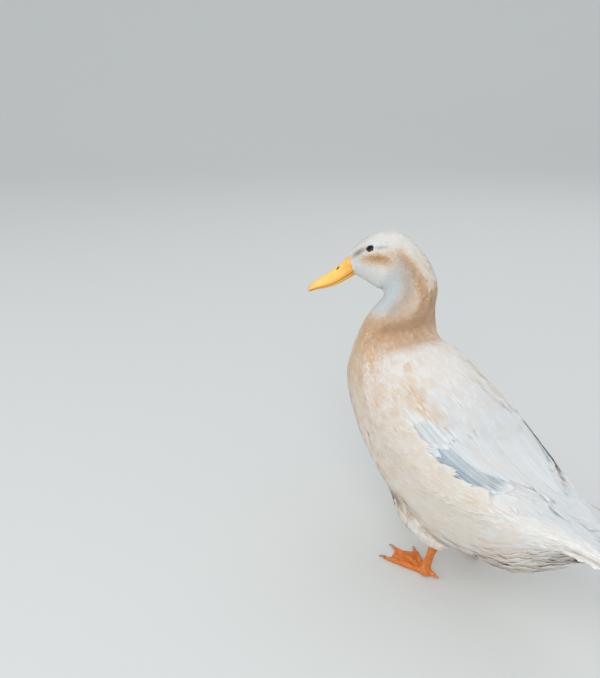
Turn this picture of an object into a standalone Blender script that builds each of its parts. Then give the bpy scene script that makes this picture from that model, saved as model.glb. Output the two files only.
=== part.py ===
"""A Saxony duck, a buff hen of the domestic breed, standing with its head turned to its left.

Metres, +Z up. The bird looks along -Y, its left side is +X, and both soles rest on the floor at Z = 0.
The body, neck and head are one smooth form, drawn through named sections from the tail to the face,
and parted with thin cuts. Wings and tail carry their flight feathers as overlapping vanes in tiers.
"""

import math
from dataclasses import dataclass

import bmesh
import bpy
import numpy as np
from mathutils import Matrix, Vector

# Stance of the whole bird
BODY_PITCH = math.radians(18.0)
HIP_HEIGHT = 0.186
HEAD_TURN = math.radians(44.0)
NODE_GAP = 0.0003
BELLY_FULLNESS = 0.10
UP = Vector((0.0, 0.0, 1.0))

# Mesh density of the flesh
FLESH_SIDES = 28
TORSO_RINGS_A_SECTION = 3
NECK_RINGS_A_SECTION = 4
HEAD_RINGS_A_SECTION = 4

# Where the flesh is parted, counted in sections from the tail's end
TAIL_CUT = 2.0
NECK_CUT = 9.2
HEAD_CUT = 12.15
FACE_END = 15.0

# Eyes
EYE_RADIUS = 0.0062
EYE_STATION = 13.90
EYE_ANGLE = math.radians(58.0)
EYE_SINK = 0.0036
LID_THICKNESS = 0.0011

# Bill
BILL_LENGTH = 0.068
BILL_DROOP = math.radians(19.0)
BILL_BASE_WIDTH = 0.0225
BILL_TIP_WIDTH = 0.0255
BILL_DEPTH = 0.0205
MOUTH_GAP = 0.0004

# Legs
STANCE_HALF_WIDTH = 0.043
ANKLE_Y = 0.026
ANKLE_HEIGHT = 0.012
HOCK_HEIGHT = 0.060
SHANK_LEAN = 0.014
TOES = ((math.radians(-23.0), 0.050), (math.radians(2.0), 0.066), (math.radians(26.0), 0.061))
THIGH_RINGS = (
    (HOCK_HEIGHT + NODE_GAP / 2, -SHANK_LEAN, 0.0, 0.0095, 0.0115),
    (HOCK_HEIGHT + 0.0040, -SHANK_LEAN + 0.003, 0.0, 0.0150, 0.0190),
    (HOCK_HEIGHT + 0.0110, -SHANK_LEAN + 0.012, 0.001, 0.0220, 0.0290),
    (HOCK_HEIGHT + 0.0230, 0.008, 0.002, 0.0280, 0.0380),
    (HOCK_HEIGHT + 0.0400, 0.016, 0.003, 0.0310, 0.0430),
    (HOCK_HEIGHT + 0.0600, 0.020, 0.002, 0.0280, 0.0420),
)
WEB_TOP = 0.0022
WEB_THICKNESS = 0.0013

# Feathers
VANE_THICKNESS = 0.0007
ROOT_SINK = 0.0025


@dataclass(frozen=True)
class Section:
    """One cross-section of the flesh, in the bird's own side view, square to the line through all of them."""

    forward: float
    height: float
    slope: float
    half_width: float
    above: float
    below: float


def on_body(along, lift, slope, half_width, above, below):
    """A section placed along the body's long axis, which rises to the breast by BODY_PITCH."""
    forward = along * math.cos(BODY_PITCH) - lift * math.sin(BODY_PITCH)
    height = HIP_HEIGHT + along * math.sin(BODY_PITCH) + lift * math.cos(BODY_PITCH)
    return Section(forward, height, math.degrees(BODY_PITCH) + slope, half_width, above, below)


NECK_BASE = on_body(0.131, 0.070, 44, 0.061, 0.022, 0.070)


def on_neck(forward, rise, slope, half_width, above, below):
    """A section placed from the middle of the neck's base."""
    return Section(NECK_BASE.forward + forward, NECK_BASE.height + rise, slope, half_width, above, below)


SECTIONS = {
    "tail end": on_body(-0.285, 0.112, -37, 0.050, 0.003, 0.004),
    "tail middle": on_body(-0.235, 0.074, -35, 0.045, 0.010, 0.011),
    "tail root": on_body(-0.192, 0.040, -24, 0.048, 0.022, 0.036),
    "rump": on_body(-0.148, 0.018, -8, 0.060, 0.036, 0.077),
    "hips": on_body(-0.094, 0.004, 0, 0.073, 0.053, 0.104),
    "belly": on_body(-0.030, 0.002, 0, 0.081, 0.066, 0.112),
    "chest": on_body(0.039, 0.004, 2, 0.079, 0.070, 0.105),
    "shoulders": on_body(0.093, 0.018, 14, 0.073, 0.063, 0.092),
    "breast": on_body(0.122, 0.042, 34, 0.068, 0.042, 0.081),
    "neck base": NECK_BASE,
    "low neck": on_neck(-0.010, 0.036, 86, 0.047, 0.031, 0.044),
    "high neck": on_neck(-0.016, 0.064, 76, 0.0335, 0.0345, 0.0360),
    "nape": on_neck(-0.008, 0.094, 47, 0.0300, 0.0290, 0.0430),
    "crown": on_neck(0.014, 0.110, 18, 0.0285, 0.0310, 0.0470),
    "brow": on_neck(0.039, 0.108, -3, 0.0255, 0.0260, 0.0375),
    "face": on_neck(0.062, 0.098, -12, 0.0140, 0.0145, 0.0170),
}
ROWS = np.array([
    (s.forward, s.height, s.slope, s.half_width, s.above, s.below) for s in SECTIONS.values()
])
NECK_BASE_STATION = 9.0
TURNED_STATION = 12.5
TURN_CENTRE = Vector((0.0, -(NECK_BASE.forward - 0.012), 0.0))


def section_at(station):
    """Forward, height, slope, half width, above and below on the smooth curve through the sections."""
    first = min(max(int(math.floor(station)), 0), len(ROWS) - 2)
    f = station - first
    before, start, end, after = (ROWS[min(max(first + k, 0), len(ROWS) - 1)] for k in (-1, 0, 1, 2))
    return 0.5 * (
        2 * start
        + (end - before) * f
        + (2 * before - 5 * start + 4 * end - after) * f**2
        + (3 * start - before - 3 * end + after) * f**3
    )


def head_turn(station):
    """The turn about the neck that a station takes part in, from none at its base to all at the head."""
    share = (station - NECK_BASE_STATION) / (TURNED_STATION - NECK_BASE_STATION)
    share = min(max(share, 0.0), 1.0)
    spin = Matrix.Rotation(HEAD_TURN * share * share * (3 - 2 * share), 4, "Z")
    return Matrix.Translation(TURN_CENTRE) @ spin @ Matrix.Translation(-TURN_CENTRE)


def station_frame(station):
    """The place and axes of a station: X to the bird's left, Y back along the line, Z to its back or crown."""
    forward, height, slope = section_at(station)[:3]
    tilt = Matrix.Rotation(-math.radians(slope), 4, "X")
    return head_turn(station) @ Matrix.Translation((0.0, -forward, height)) @ tilt


def belly_share(station):
    """How far the broad, flat belly of a duck shows at a station, none at its ends and all in the middle."""
    return max(0.0, math.sin(math.pi * min(max((station - 2.0) / 7.0, 0.0), 1.0)))


def skin_point(station, angle, lift=0.0):
    """A point on the flesh. The angle runs from the back, over the left side, to the belly at pi."""
    half_width, above, below = section_at(station)[3:]
    side, rise = math.sin(angle), math.cos(angle)
    depth = above if rise > 0 else below
    place = Vector((half_width * side, 0.0, depth * rise))
    if rise < 0:
        place *= 1 + BELLY_FULLNESS * belly_share(station) * (2 * side * rise) ** 2
    if lift:
        outward = Vector((side / half_width, 0.0, rise / depth)).normalized()
        place += lift * outward
    return station_frame(station) @ place


def skin_normal(station, angle):
    """The outward direction of the flesh there, from its slope both along and around."""
    step = 0.02
    along = skin_point(station + step, angle) - skin_point(station - step, angle)
    around = skin_point(station, angle + step) - skin_point(station, angle - step)
    normal = along.cross(around)
    outward = skin_point(station, angle, 0.01) - skin_point(station, angle)
    return normal.normalized() * (1 if normal.dot(outward) > 0 else -1)


# Materials

COLOURS = {
    "white_feather": ((0.80, 0.80, 0.76), 0.75),
    "buff_feather": ((0.62, 0.42, 0.25), 0.80),
    "cream_feather": ((0.74, 0.66, 0.53), 0.80),
    "wing_feather": ((0.70, 0.72, 0.72), 0.70),
    "bill_horn": ((0.86, 0.48, 0.06), 0.38),
    "leg_skin": ((0.80, 0.33, 0.06), 0.50),
    "eye_gloss": ((0.02, 0.012, 0.008), 0.05),
}


def finish(name):
    """The material of that name, made the first time it is asked for."""
    found = bpy.data.materials.get(name)
    if found:
        return found
    colour, roughness = COLOURS[name]
    material = bpy.data.materials.new(name)
    material.use_nodes = True
    shader = material.node_tree.nodes["Principled BSDF"]
    shader.inputs["Base Color"].default_value = (*colour, 1.0)
    shader.inputs["Roughness"].default_value = roughness
    shader.inputs["Metallic"].default_value = 0.0
    material.diffuse_color = (*colour, 1.0)
    return material


# Mesh helpers

def new_object(name, mesh, material=None):
    """A named object in the scene that holds this mesh."""
    body = bpy.data.objects.new(name, mesh)
    bpy.context.scene.collection.objects.link(body)
    if material:
        mesh.materials.clear()
        mesh.materials.append(finish(material))
    return body


def lofted(name, rings, material=None):
    """A closed mesh through rings of as many points each, run the same way round, with a fan at either end."""
    sides = len(rings[0])
    shape = bmesh.new()
    rows = [[shape.verts.new(point) for point in ring] for ring in rings]
    for near, far in zip(rows, rows[1:]):
        for k in range(sides):
            m = (k + 1) % sides
            shape.faces.new((near[k], near[m], far[m]))
            shape.faces.new((near[k], far[m], far[k]))
    for row, order in ((rows[0], -1), (rows[-1], 1)):
        centre = shape.verts.new(sum((v.co for v in row), Vector()) / sides)
        for k in range(sides):
            shape.faces.new((centre, row[k], row[(k + 1) % sides])[::order])
    return closed_object(name, shape, material)


def closed_object(name, shape, material=None):
    """Turns a closed bmesh into an object whose faces point outwards."""
    bmesh.ops.recalc_face_normals(shape, faces=shape.faces)
    if shape.calc_volume(signed=True) < 0:
        bmesh.ops.reverse_faces(shape, faces=shape.faces)
    mesh = bpy.data.meshes.new(name)
    shape.to_mesh(mesh)
    shape.free()
    return new_object(name, mesh, material)


def applied(body):
    """Applies the modifiers of an object to its mesh."""
    graph = bpy.context.evaluated_depsgraph_get()
    mesh = bpy.data.meshes.new_from_object(body.evaluated_get(graph))
    body.modifiers.clear()
    body.data = mesh
    return body


def keep_largest(body):
    """Keeps the closed surface with the most volume, and drops sealed hollows and scraps."""
    shape = bmesh.new()
    shape.from_mesh(body.data)
    bmesh.ops.remove_doubles(shape, verts=shape.verts, dist=1e-7)
    shape.verts.ensure_lookup_table()
    left = set(shape.verts)
    shells = []
    while left:
        shell, queue = set(), [next(iter(left))]
        while queue:
            vert = queue.pop()
            if vert in shell:
                continue
            shell.add(vert)
            queue += [edge.other_vert(vert) for edge in vert.link_edges]
        left -= shell
        shells.append(shell)
    if len(shells) > 1:
        shells.sort(key=lambda shell: -shell_volume(shell))
        bmesh.ops.delete(shape, geom=[v for shell in shells[1:] for v in shell], context="VERTS")
    bmesh.ops.triangulate(shape, faces=shape.faces)
    shape.to_mesh(body.data)
    shape.free()
    return body


def shell_volume(shell):
    """The signed volume that a set of joined vertices encloses."""
    faces = {face for vert in shell for face in vert.link_faces}
    total = 0.0
    for face in faces:
        first = face.verts[0].co
        for a, b in zip(face.verts[1:], face.verts[2:]):
            total += first.dot(a.co.cross(b.co)) / 6
    return total


def fused(name, pieces, material, solver="EXACT"):
    """Joins closed, overlapping pieces into one closed body, with one Boolean union."""
    others = bpy.data.collections.new(name + "_pieces")
    bpy.context.scene.collection.children.link(others)
    core = pieces[0]
    for piece in pieces[1:]:
        bpy.context.scene.collection.objects.unlink(piece)
        others.objects.link(piece)
    union = core.modifiers.new("Join", "BOOLEAN")
    union.operation = "UNION"
    union.operand_type = "COLLECTION"
    union.collection = others
    union.solver = solver
    applied(core)
    for piece in pieces[1:]:
        bpy.data.objects.remove(piece)
    bpy.data.collections.remove(others)
    keep_largest(core)
    core.name = name
    core.data.name = name
    core.data.materials.clear()
    core.data.materials.append(finish(material))
    return core


def cut_away(body, cutter, keep_cutter=False):
    """Takes a closed cutter's space out of a body."""
    cut = body.modifiers.new("Cut", "BOOLEAN")
    cut.operation = "DIFFERENCE"
    cut.object = cutter
    cut.solver = "EXACT"
    applied(body)
    if not keep_cutter:
        bpy.data.objects.remove(cutter)
    return keep_largest(body)


def ball(name, centre, radius, segments=12, rings=8):
    """A closed sphere."""
    shape = bmesh.new()
    bmesh.ops.create_uvsphere(shape, u_segments=segments, v_segments=rings, radius=radius)
    bmesh.ops.translate(shape, verts=shape.verts, vec=centre)
    bmesh.ops.triangulate(shape, faces=shape.faces)
    return closed_object(name, shape)


# Flesh

def flesh_rings(start, end, rings_a_section, lift=0.0):
    """Rings of the flesh between two stations, each end drawn in by half of the gap between nodes."""
    count = max(2, round((end - start) * rings_a_section)) + 1
    rings = []
    for k in range(count):
        station = start + (end - start) * k / (count - 1)
        ring = [
            skin_point(station, 2 * math.pi * side / FLESH_SIDES, lift) for side in range(FLESH_SIDES)
        ]
        if k in (0, count - 1):
            inward = NODE_GAP / 2 * (1 if k == 0 else -1)
            shift = station_frame(station).to_3x3() @ Vector((0.0, -inward, 0.0))
            ring = [point + shift for point in ring]
        rings.append(ring)
    return rings


def torso_form(name, lift=0.0):
    """The trunk from the tail's root to the base of the neck."""
    return lofted(name, flesh_rings(TAIL_CUT, NECK_CUT, TORSO_RINGS_A_SECTION, lift))


def make_torso():
    """The trunk, with its breast and belly."""
    torso = torso_form("torso")
    torso.data.materials.append(finish("cream_feather"))
    return torso


def make_neck():
    """The neck, from the crop to the back of the head."""
    return lofted("neck", flesh_rings(NECK_CUT, HEAD_CUT, NECK_RINGS_A_SECTION), "buff_feather")


def eye_centre(side):
    """The middle of an eyeball, sunk into the side of the head."""
    angle = EYE_ANGLE * side
    return skin_point(EYE_STATION, angle) - skin_normal(EYE_STATION, angle) * EYE_SINK


def lid_ring(side):
    """The lids of one eye, a thin raised rim round its opening."""
    angle = EYE_ANGLE * side
    outward = skin_normal(EYE_STATION, angle)
    centre = eye_centre(side) + outward * (EYE_SINK - 0.0004)
    turn = outward.to_track_quat("Z", "Y").to_matrix().to_4x4()
    rim = EYE_RADIUS * 0.90
    shape = bmesh.new()
    segments, sides = 12, 4
    rows = []
    for k in range(segments):
        a = 2 * math.pi * k / segments
        row = []
        for m in range(sides):
            b = 2 * math.pi * m / sides
            reach = rim + LID_THICKNESS * math.cos(b)
            place = Vector((reach * math.cos(a), reach * math.sin(a) * 0.86, LID_THICKNESS * math.sin(b)))
            row.append(shape.verts.new(Matrix.Translation(centre) @ turn @ place))
        rows.append(row)
    for k in range(segments):
        for m in range(sides):
            near, far = rows[k], rows[(k + 1) % segments]
            n = (m + 1) % sides
            shape.faces.new((near[m], far[m], far[n]))
            shape.faces.new((near[m], far[n], near[n]))
    return closed_object("lid", shape)


def make_head():
    """The head from the nape to the bill, with lids and with sockets for the eyes."""
    skull = lofted("head", flesh_rings(HEAD_CUT, FACE_END, HEAD_RINGS_A_SECTION))
    head = fused("head", [skull, lid_ring(1), lid_ring(-1)], "white_feather")
    for side in (1, -1):
        cut_away(head, ball("socket", eye_centre(side), EYE_RADIUS + NODE_GAP))
    return head


def make_eye(name, side):
    """One dark, glossy eyeball."""
    eye = ball(name, eye_centre(side), EYE_RADIUS)
    eye.data.materials.append(finish("eye_gloss"))
    eye.data.shade_smooth()
    return eye


# Bill

def bill_frame():
    """The bill's own axes at the face: X left, Y back, Z up."""
    return station_frame(FACE_END) @ Matrix.Translation((0.0, -NODE_GAP, 0.0))


def bill_width(share):
    """Half the bill's width at a share of its length, widest near the tip and rounded off there."""
    spread = BILL_BASE_WIDTH + (BILL_TIP_WIDTH - BILL_BASE_WIDTH) * math.sin(min(share / 0.8, 1.0) * math.pi / 2) ** 2
    waist = 1 - 0.07 * math.sin(math.pi * min(share / 0.6, 1.0))
    end = math.sqrt(max(0.0, 1 - max(0.0, (share - 0.78) / 0.22) ** 2))
    return spread / 2 * waist * end


def bill_top(share):
    """Height of the culmen above the mouth's line: high at the face, dished, then low to the nail."""
    return BILL_DEPTH * (0.30 + 0.70 * (1 - share) ** 1.15)


def mouth_line(share):
    """Height of the mouth's line against the bill's axis: it droops from the corner, then lifts to the tip."""
    droop = share * BILL_LENGTH * math.tan(BILL_DROOP)
    return -0.0105 + 0.0036 * share - 0.0040 * math.sin(math.pi * min(share * 1.25, 1.0)) - droop


def upper_bill_ring(share, sides=18):
    """One ring of the upper bill, domed on top and hollowed a little below."""
    half, top, floor = max(bill_width(share), 0.0012), bill_top(share), mouth_line(share)
    if share > 0.9:
        top *= 1 - 4.5 * (share - 0.9)
    ring = []
    for k in range(sides):
        angle = 2 * math.pi * k / sides
        x = half * math.sin(angle)
        rise = math.cos(angle)
        z = floor + (top * abs(rise) ** 0.85 if rise > 0 else 0.0009 * abs(rise))
        ring.append(Vector((x, -share * BILL_LENGTH, z)))
    return ring


def nostril_cutter(side):
    """An oval pit in the side of the upper bill."""
    shape = bmesh.new()
    bmesh.ops.create_uvsphere(shape, u_segments=10, v_segments=6, radius=1.0)
    share = 0.30
    place = Vector((side * bill_width(share) * 0.66, -share * BILL_LENGTH, mouth_line(share) + bill_top(share) * 0.76))
    stretch = Matrix.Diagonal((0.0019, 0.0038, 0.0015, 1.0))
    bmesh.ops.transform(shape, matrix=bill_frame() @ Matrix.Translation(place) @ stretch, verts=shape.verts)
    bmesh.ops.triangulate(shape, faces=shape.faces)
    return closed_object("nostril", shape)


def make_upper_bill():
    """The upper bill, with its nostrils and the nail at its tip."""
    shares = [0, 0.08, 0.17, 0.27, 0.38, 0.5, 0.62, 0.74, 0.84, 0.91, 0.96, 0.99]
    frame = bill_frame()
    rings = [[frame @ point for point in upper_bill_ring(share)] for share in shares]
    beak = lofted("upper_bill", rings)
    shape = bmesh.new()
    bmesh.ops.create_uvsphere(shape, u_segments=10, v_segments=6, radius=1.0)
    place = Vector((0.0, -BILL_LENGTH * 0.945, mouth_line(0.95) + 0.0026))
    stretch = Matrix.Diagonal((0.0050, 0.0052, 0.0024, 1.0))
    bmesh.ops.transform(shape, matrix=frame @ Matrix.Translation(place) @ stretch, verts=shape.verts)
    bmesh.ops.triangulate(shape, faces=shape.faces)
    nail = closed_object("nail", shape)
    bill = fused("bill_upper", [beak, nail], "bill_horn", "MANIFOLD")
    for side in (1, -1):
        cut_away(bill, nostril_cutter(side))
    return bill


def make_lower_bill():
    """The lower bill, a shallow trough that closes under the upper one."""
    frame = bill_frame()
    rings = []
    for share in [0, 0.1, 0.22, 0.36, 0.5, 0.64, 0.77, 0.87, 0.93]:
        half = max(bill_width(share) * 0.84, 0.0012)
        roof = mouth_line(share) - 0.0009 - MOUTH_GAP
        depth = 0.0048 * (1 - share) ** 0.7 + 0.0012
        ring = []
        for k in range(16):
            angle = 2 * math.pi * k / 16
            rise = math.cos(angle)
            z = roof - (depth * abs(rise) if rise < 0 else 0.0)
            ring.append(frame @ Vector((half * math.sin(angle), -share * BILL_LENGTH, z)))
        rings.append(ring)
    return lofted("bill_lower", rings, "bill_horn")


# Feathers

def sheet(name, top, bottom):
    """A closed, thin body between two grids of points, with both faces split into triangles alike."""
    shape = bmesh.new()
    grids = [[[shape.verts.new(point) for point in row] for row in grid] for grid in (top, bottom)]
    longs, acrosses = len(top) - 1, len(top[0]) - 1
    for grid in grids:
        for i in range(longs):
            for j in range(acrosses):
                a, b, c, d = grid[i][j], grid[i + 1][j], grid[i + 1][j + 1], grid[i][j + 1]
                shape.faces.new((a, b, c))
                shape.faces.new((a, c, d))
    edge = [(i, 0) for i in range(longs)] + [(longs, j) for j in range(acrosses)]
    edge += [(i, acrosses) for i in range(longs, 0, -1)] + [(0, j) for j in range(acrosses, 0, -1)]
    upper, lower = grids
    for (i, j), (k, m) in zip(edge, edge[1:] + edge[:1]):
        shape.faces.new((upper[i][j], upper[k][m], lower[k][m]))
        shape.faces.new((upper[i][j], lower[k][m], lower[i][j]))
    return closed_object(name, shape)


def vane(path, normals, widths, roll=0.0):
    """One flat feather along a path, as wide as given at each point and rolled a little to one side."""
    top, bottom = [], []
    last = len(path) - 1
    for k, (point, normal, width) in enumerate(zip(path, normals, widths)):
        ahead = path[min(k + 1, last)] - path[max(k - 1, 0)]
        side = ahead.cross(normal).normalized()
        up = side.cross(ahead).normalized()
        across = (side * math.cos(roll) + up * math.sin(roll)) * width / 2
        rise = (up * math.cos(roll) - side * math.sin(roll)) * VANE_THICKNESS / 2
        top.append([point - across + rise, point + across + rise])
        bottom.append([point - across - rise, point + across - rise])
    return sheet("vane", top, bottom)


def vane_width(width, share):
    """A feather's width at a share of its length: narrow at the root, full, then rounded at the tip."""
    swell = 0.62 + 0.38 * math.sin(math.pi / 2 * min(share / 0.45, 1.0))
    end = math.sqrt(max(0.0, 1 - max(0.0, (share - 0.60) / 0.40) ** 2.2))
    return max(width * swell * end, width * 0.14)


@dataclass(frozen=True)
class Patch:
    """A piece of the bird's surface that carries feathers: stations along it, and angles of its two edges."""

    side: int
    front: float
    rear: float
    upper: tuple
    lower: tuple

    def angle(self, along, across):
        """The angle round the body at shares of the patch's length and depth."""
        place = min(max(along, 0.0), 1.0) * (len(self.upper) - 1)
        steps = range(len(self.upper))
        upper, lower = np.interp(place, steps, self.upper), np.interp(place, steps, self.lower)
        return math.radians(upper + (lower - upper) * across) * self.side

    def station(self, along):
        """The station at a share of the patch's length."""
        return self.front + (self.rear - self.front) * along

    def spot(self, along, across, lift):
        """A point over the surface at those shares."""
        return skin_point(self.station(along), self.angle(along, across), lift)

    def normal(self, along, across):
        """The way out from the surface there."""
        return skin_normal(self.station(along), self.angle(along, across))

    def feather(self, root, tip, width, clearance, roll=0.0, base=None, rings=5):
        """A vane from one spot to another, sunk at its root and then as clear of what it lies on as given."""
        path, normals, widths = [], [], []
        for k in range(rings):
            share = (k / (rings - 1)) ** 0.8
            along = root[0] + (tip[0] - root[0]) * share
            across = root[1] + (tip[1] - root[1]) * share
            lift = clearance[0] + (clearance[1] - clearance[0]) * share - (ROOT_SINK if k == 0 else 0.0)
            if base:
                lift += base(along, across)
            path.append(self.spot(along, across, lift))
            normals.append(self.normal(along, across))
            widths.append(vane_width(width, share))
        return vane(path, normals, widths, roll * self.side)


def row_of(count):
    """Shares from 0 to 1 for as many feathers in a row."""
    return [k / (count - 1) for k in range(count)]


# Wings

WING_ARM_REACH = 0.54
WING_STAND_OFF = 0.0085
WING_ROLL = math.radians(7.5)


def wing_patch(side):
    """The outline of a folded wing on the side of the body."""
    return Patch(side, 7.55, 2.06, (46, 25, 13, 7, 4), (70, 92, 100, 82, 22))


def arm_bulk(along, across):
    """How far the folded arm stands off the body, highest in the middle and low at its edges."""
    length = math.sin(math.pi * min(max(along / 0.60, 0.0), 1.0)) ** 0.55
    depth = math.sin(math.pi * min(max(across, 0.0), 1.0)) ** 0.5
    return WING_STAND_OFF * length * depth + 0.0016


def wing_arm(patch):
    """The folded arm under the coverts, a low shell over the body's side."""
    longs, acrosses = 8, 6
    outer, inner = [], []
    for i in range(longs + 1):
        along = WING_ARM_REACH * i / longs
        shares = [j / acrosses for j in range(acrosses + 1)]
        outer.append([patch.spot(along, share, arm_bulk(along, share)) for share in shares])
        inner.append([patch.spot(along, share, -0.0015) for share in shares])
    return sheet("wing_arm", outer, inner)


def wing_feathers(patch):
    """The feathers of one folded wing, in tiers from the longest below to the smallest on top."""
    vanes = []
    for s in row_of(6):
        root, tip = (0.47, 0.86 - 0.40 * s), (0.87 + 0.12 * s, 0.80 - 0.44 * s)
        lift = 0.0012 + 0.0055 * s
        vanes.append(patch.feather(root, tip, 0.017, (lift, lift), WING_ROLL))
    for s in row_of(6):
        root, tip = (0.46, 0.94 - 0.52 * s), (0.67 + 0.12 * s, 0.96 - 0.42 * s)
        lift = 0.0066 + 0.0012 * s
        vanes.append(patch.feather(root, tip, 0.021, (lift, lift), WING_ROLL))
    for s in row_of(4):
        root, tip = (0.46, 0.38 - 0.30 * s), (0.80 + 0.10 * s, 0.50 - 0.34 * s)
        lift = 0.0072 + 0.0030 * s
        vanes.append(patch.feather(root, tip, 0.026, (lift, lift), WING_ROLL))
    for start, reach, count in ((0.37, 0.165, 6), (0.25, 0.150, 5), (0.13, 0.150, 4)):
        for s in row_of(count):
            across = 0.10 + 0.80 * s
            root, tip = (start, across), (start + reach, across + 0.02)
            vanes.append(patch.feather(root, tip, 0.026, (0.0008, 0.0030), WING_ROLL, arm_bulk, 4))
    return vanes


def make_wing(name, side):
    """One folded wing: its arm, its coverts in tiers and its flight feathers, fused and set on the body."""
    patch = wing_patch(side)
    folded = fused(name, [wing_arm(patch), *wing_feathers(patch)], "wing_feather")
    return cut_away(folded, torso_form("bed", NODE_GAP))


# Tail

FAN_PIVOT = 1.55
FAN_START = 0.028
FAN_LENGTH = 0.128
FAN_SPREAD = math.radians(27.0)
FAN_FEATHERS = 14
FAN_RISE = 0.010


def fan_feather(share):
    """One tail feather of the fan, by its share from the right edge to the left one."""
    turn = FAN_SPREAD * (2 * share - 1)
    rank = abs(2 * share - 1)
    frame = station_frame(FAN_PIVOT)
    length = FAN_LENGTH * (1 - 0.17 * rank**1.6)
    path, normals, widths = [], [], []
    for k in range(5):
        s = (k / 4) ** 0.8
        reach = FAN_START + (length - FAN_START) * s
        lift = 0.0040 - 0.0080 * rank + FAN_RISE * s * s
        path.append(frame @ Vector((math.sin(turn) * reach, math.cos(turn) * reach, lift)))
        normals.append(frame.to_3x3() @ UP)
        widths.append(vane_width(0.0185, s))
    return vane(path, normals, widths)


def make_tail():
    """The tail: its fleshy root, the fan of tail feathers and the coverts over and under it."""
    root = lofted("root", flesh_rings(0.35, TAIL_CUT, 3))
    vanes = [fan_feather(share) for share in row_of(FAN_FEATHERS)]
    over = Patch(1, 1.90, 0.0, (-70, -60), (70, 60))
    under = Patch(1, 1.90, 0.0, (118, 124), (242, 236))
    for patch, start, end, count, width in (
        (over, 0.40, 0.94, 4, 0.025), (over, 0.08, 0.56, 4, 0.030),
        (under, 0.36, 0.84, 3, 0.028), (under, 0.06, 0.52, 4, 0.031),
    ):
        for s in row_of(count):
            across = 0.12 + 0.76 * s
            vanes.append(patch.feather((start, across), (end, across), width, (0.0004, 0.0034), rings=4))
    return fused("tail", [root, *vanes], "cream_feather")


# Legs

def leg_spot(side, forward, height, aside=0.0):
    """A point of a leg, by how far it lies ahead of the ankle and out from it."""
    return Vector((side * (STANCE_HALF_WIDTH + aside), ANKLE_Y - forward, height))


def level_tube(name, centres, radii, sides=14, depth=1.0):
    """A closed tapering tube of level rings."""
    return lofted(name, [
        [centre + Vector((radius * math.sin(a), radius * depth * math.cos(a), 0.0))
         for a in (2 * math.pi * m / sides for m in range(sides))]
        for centre, radius in zip(centres, radii)
    ])


def toe_tube(name, centres, radii, sides=6):
    """A closed tapering tube of upright rings, square to its own line."""
    rings = []
    for k, (centre, radius) in enumerate(zip(centres, radii)):
        ahead = (centres[min(k + 1, len(centres) - 1)] - centres[max(k - 1, 0)]).normalized()
        right = ahead.cross(UP).normalized()
        up = right.cross(ahead)
        angles = [2 * math.pi * (m + 0.5) / sides for m in range(sides)]
        rings.append([centre + (right * math.sin(a) + up * math.cos(a)) * radius for a in angles])
    return lofted(name, rings)


def make_thigh(name, side):
    """The feathered thigh, full under the flank and drawn in at the hock."""
    rings = []
    for height, forward, aside, width, depth in THIGH_RINGS:
        centre = leg_spot(side, forward, height, aside)
        angles = [2 * math.pi * m / 18 for m in range(18)]
        rings.append([centre + Vector((width * math.sin(a), depth * math.cos(a), 0.0)) for a in angles])
    thigh = lofted(name, rings, "cream_feather")
    return cut_away(thigh, torso_form("bed", NODE_GAP))


def make_shank(name, side):
    """The bare, scaled shank from the hock to the foot."""
    low = leg_spot(side, 0.0, ANKLE_HEIGHT + NODE_GAP / 2)
    top = leg_spot(side, -SHANK_LEAN, HOCK_HEIGHT - NODE_GAP / 2)
    shares = (0, 0.15, 0.35, 0.60, 0.80, 0.92, 1.0)
    radii = (0.0060, 0.0052, 0.0047, 0.0048, 0.0058, 0.0072, 0.0074)
    shank = level_tube(name, [low.lerp(top, s) for s in shares], radii, 14, 1.2)
    shank.data.materials.append(finish("leg_skin"))
    return shank


def toe_point(side, turn, reach, height):
    """A point along a toe that is turned outwards by an angle."""
    return leg_spot(side, reach * math.cos(turn), height, reach * math.sin(turn))


def web(side, first, second):
    """The web between two toes, hollow along its front edge."""
    top, bottom = [], []
    for u in (0.10, 0.45, 0.75, 1.0):
        upper, lower = [], []
        for v in (0.0, 0.33, 0.67, 1.0):
            turn = first[0] + (second[0] - first[0]) * v
            reach = (first[1] + (second[1] - first[1]) * v) * 0.93 * u
            reach *= 1 - 0.13 * math.sin(math.pi * v) * u * u
            upper.append(toe_point(side, turn, reach, WEB_TOP))
            lower.append(toe_point(side, turn, reach, WEB_TOP - WEB_THICKNESS))
        top.append(upper)
        bottom.append(lower)
    return sheet("web", top, bottom)


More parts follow.
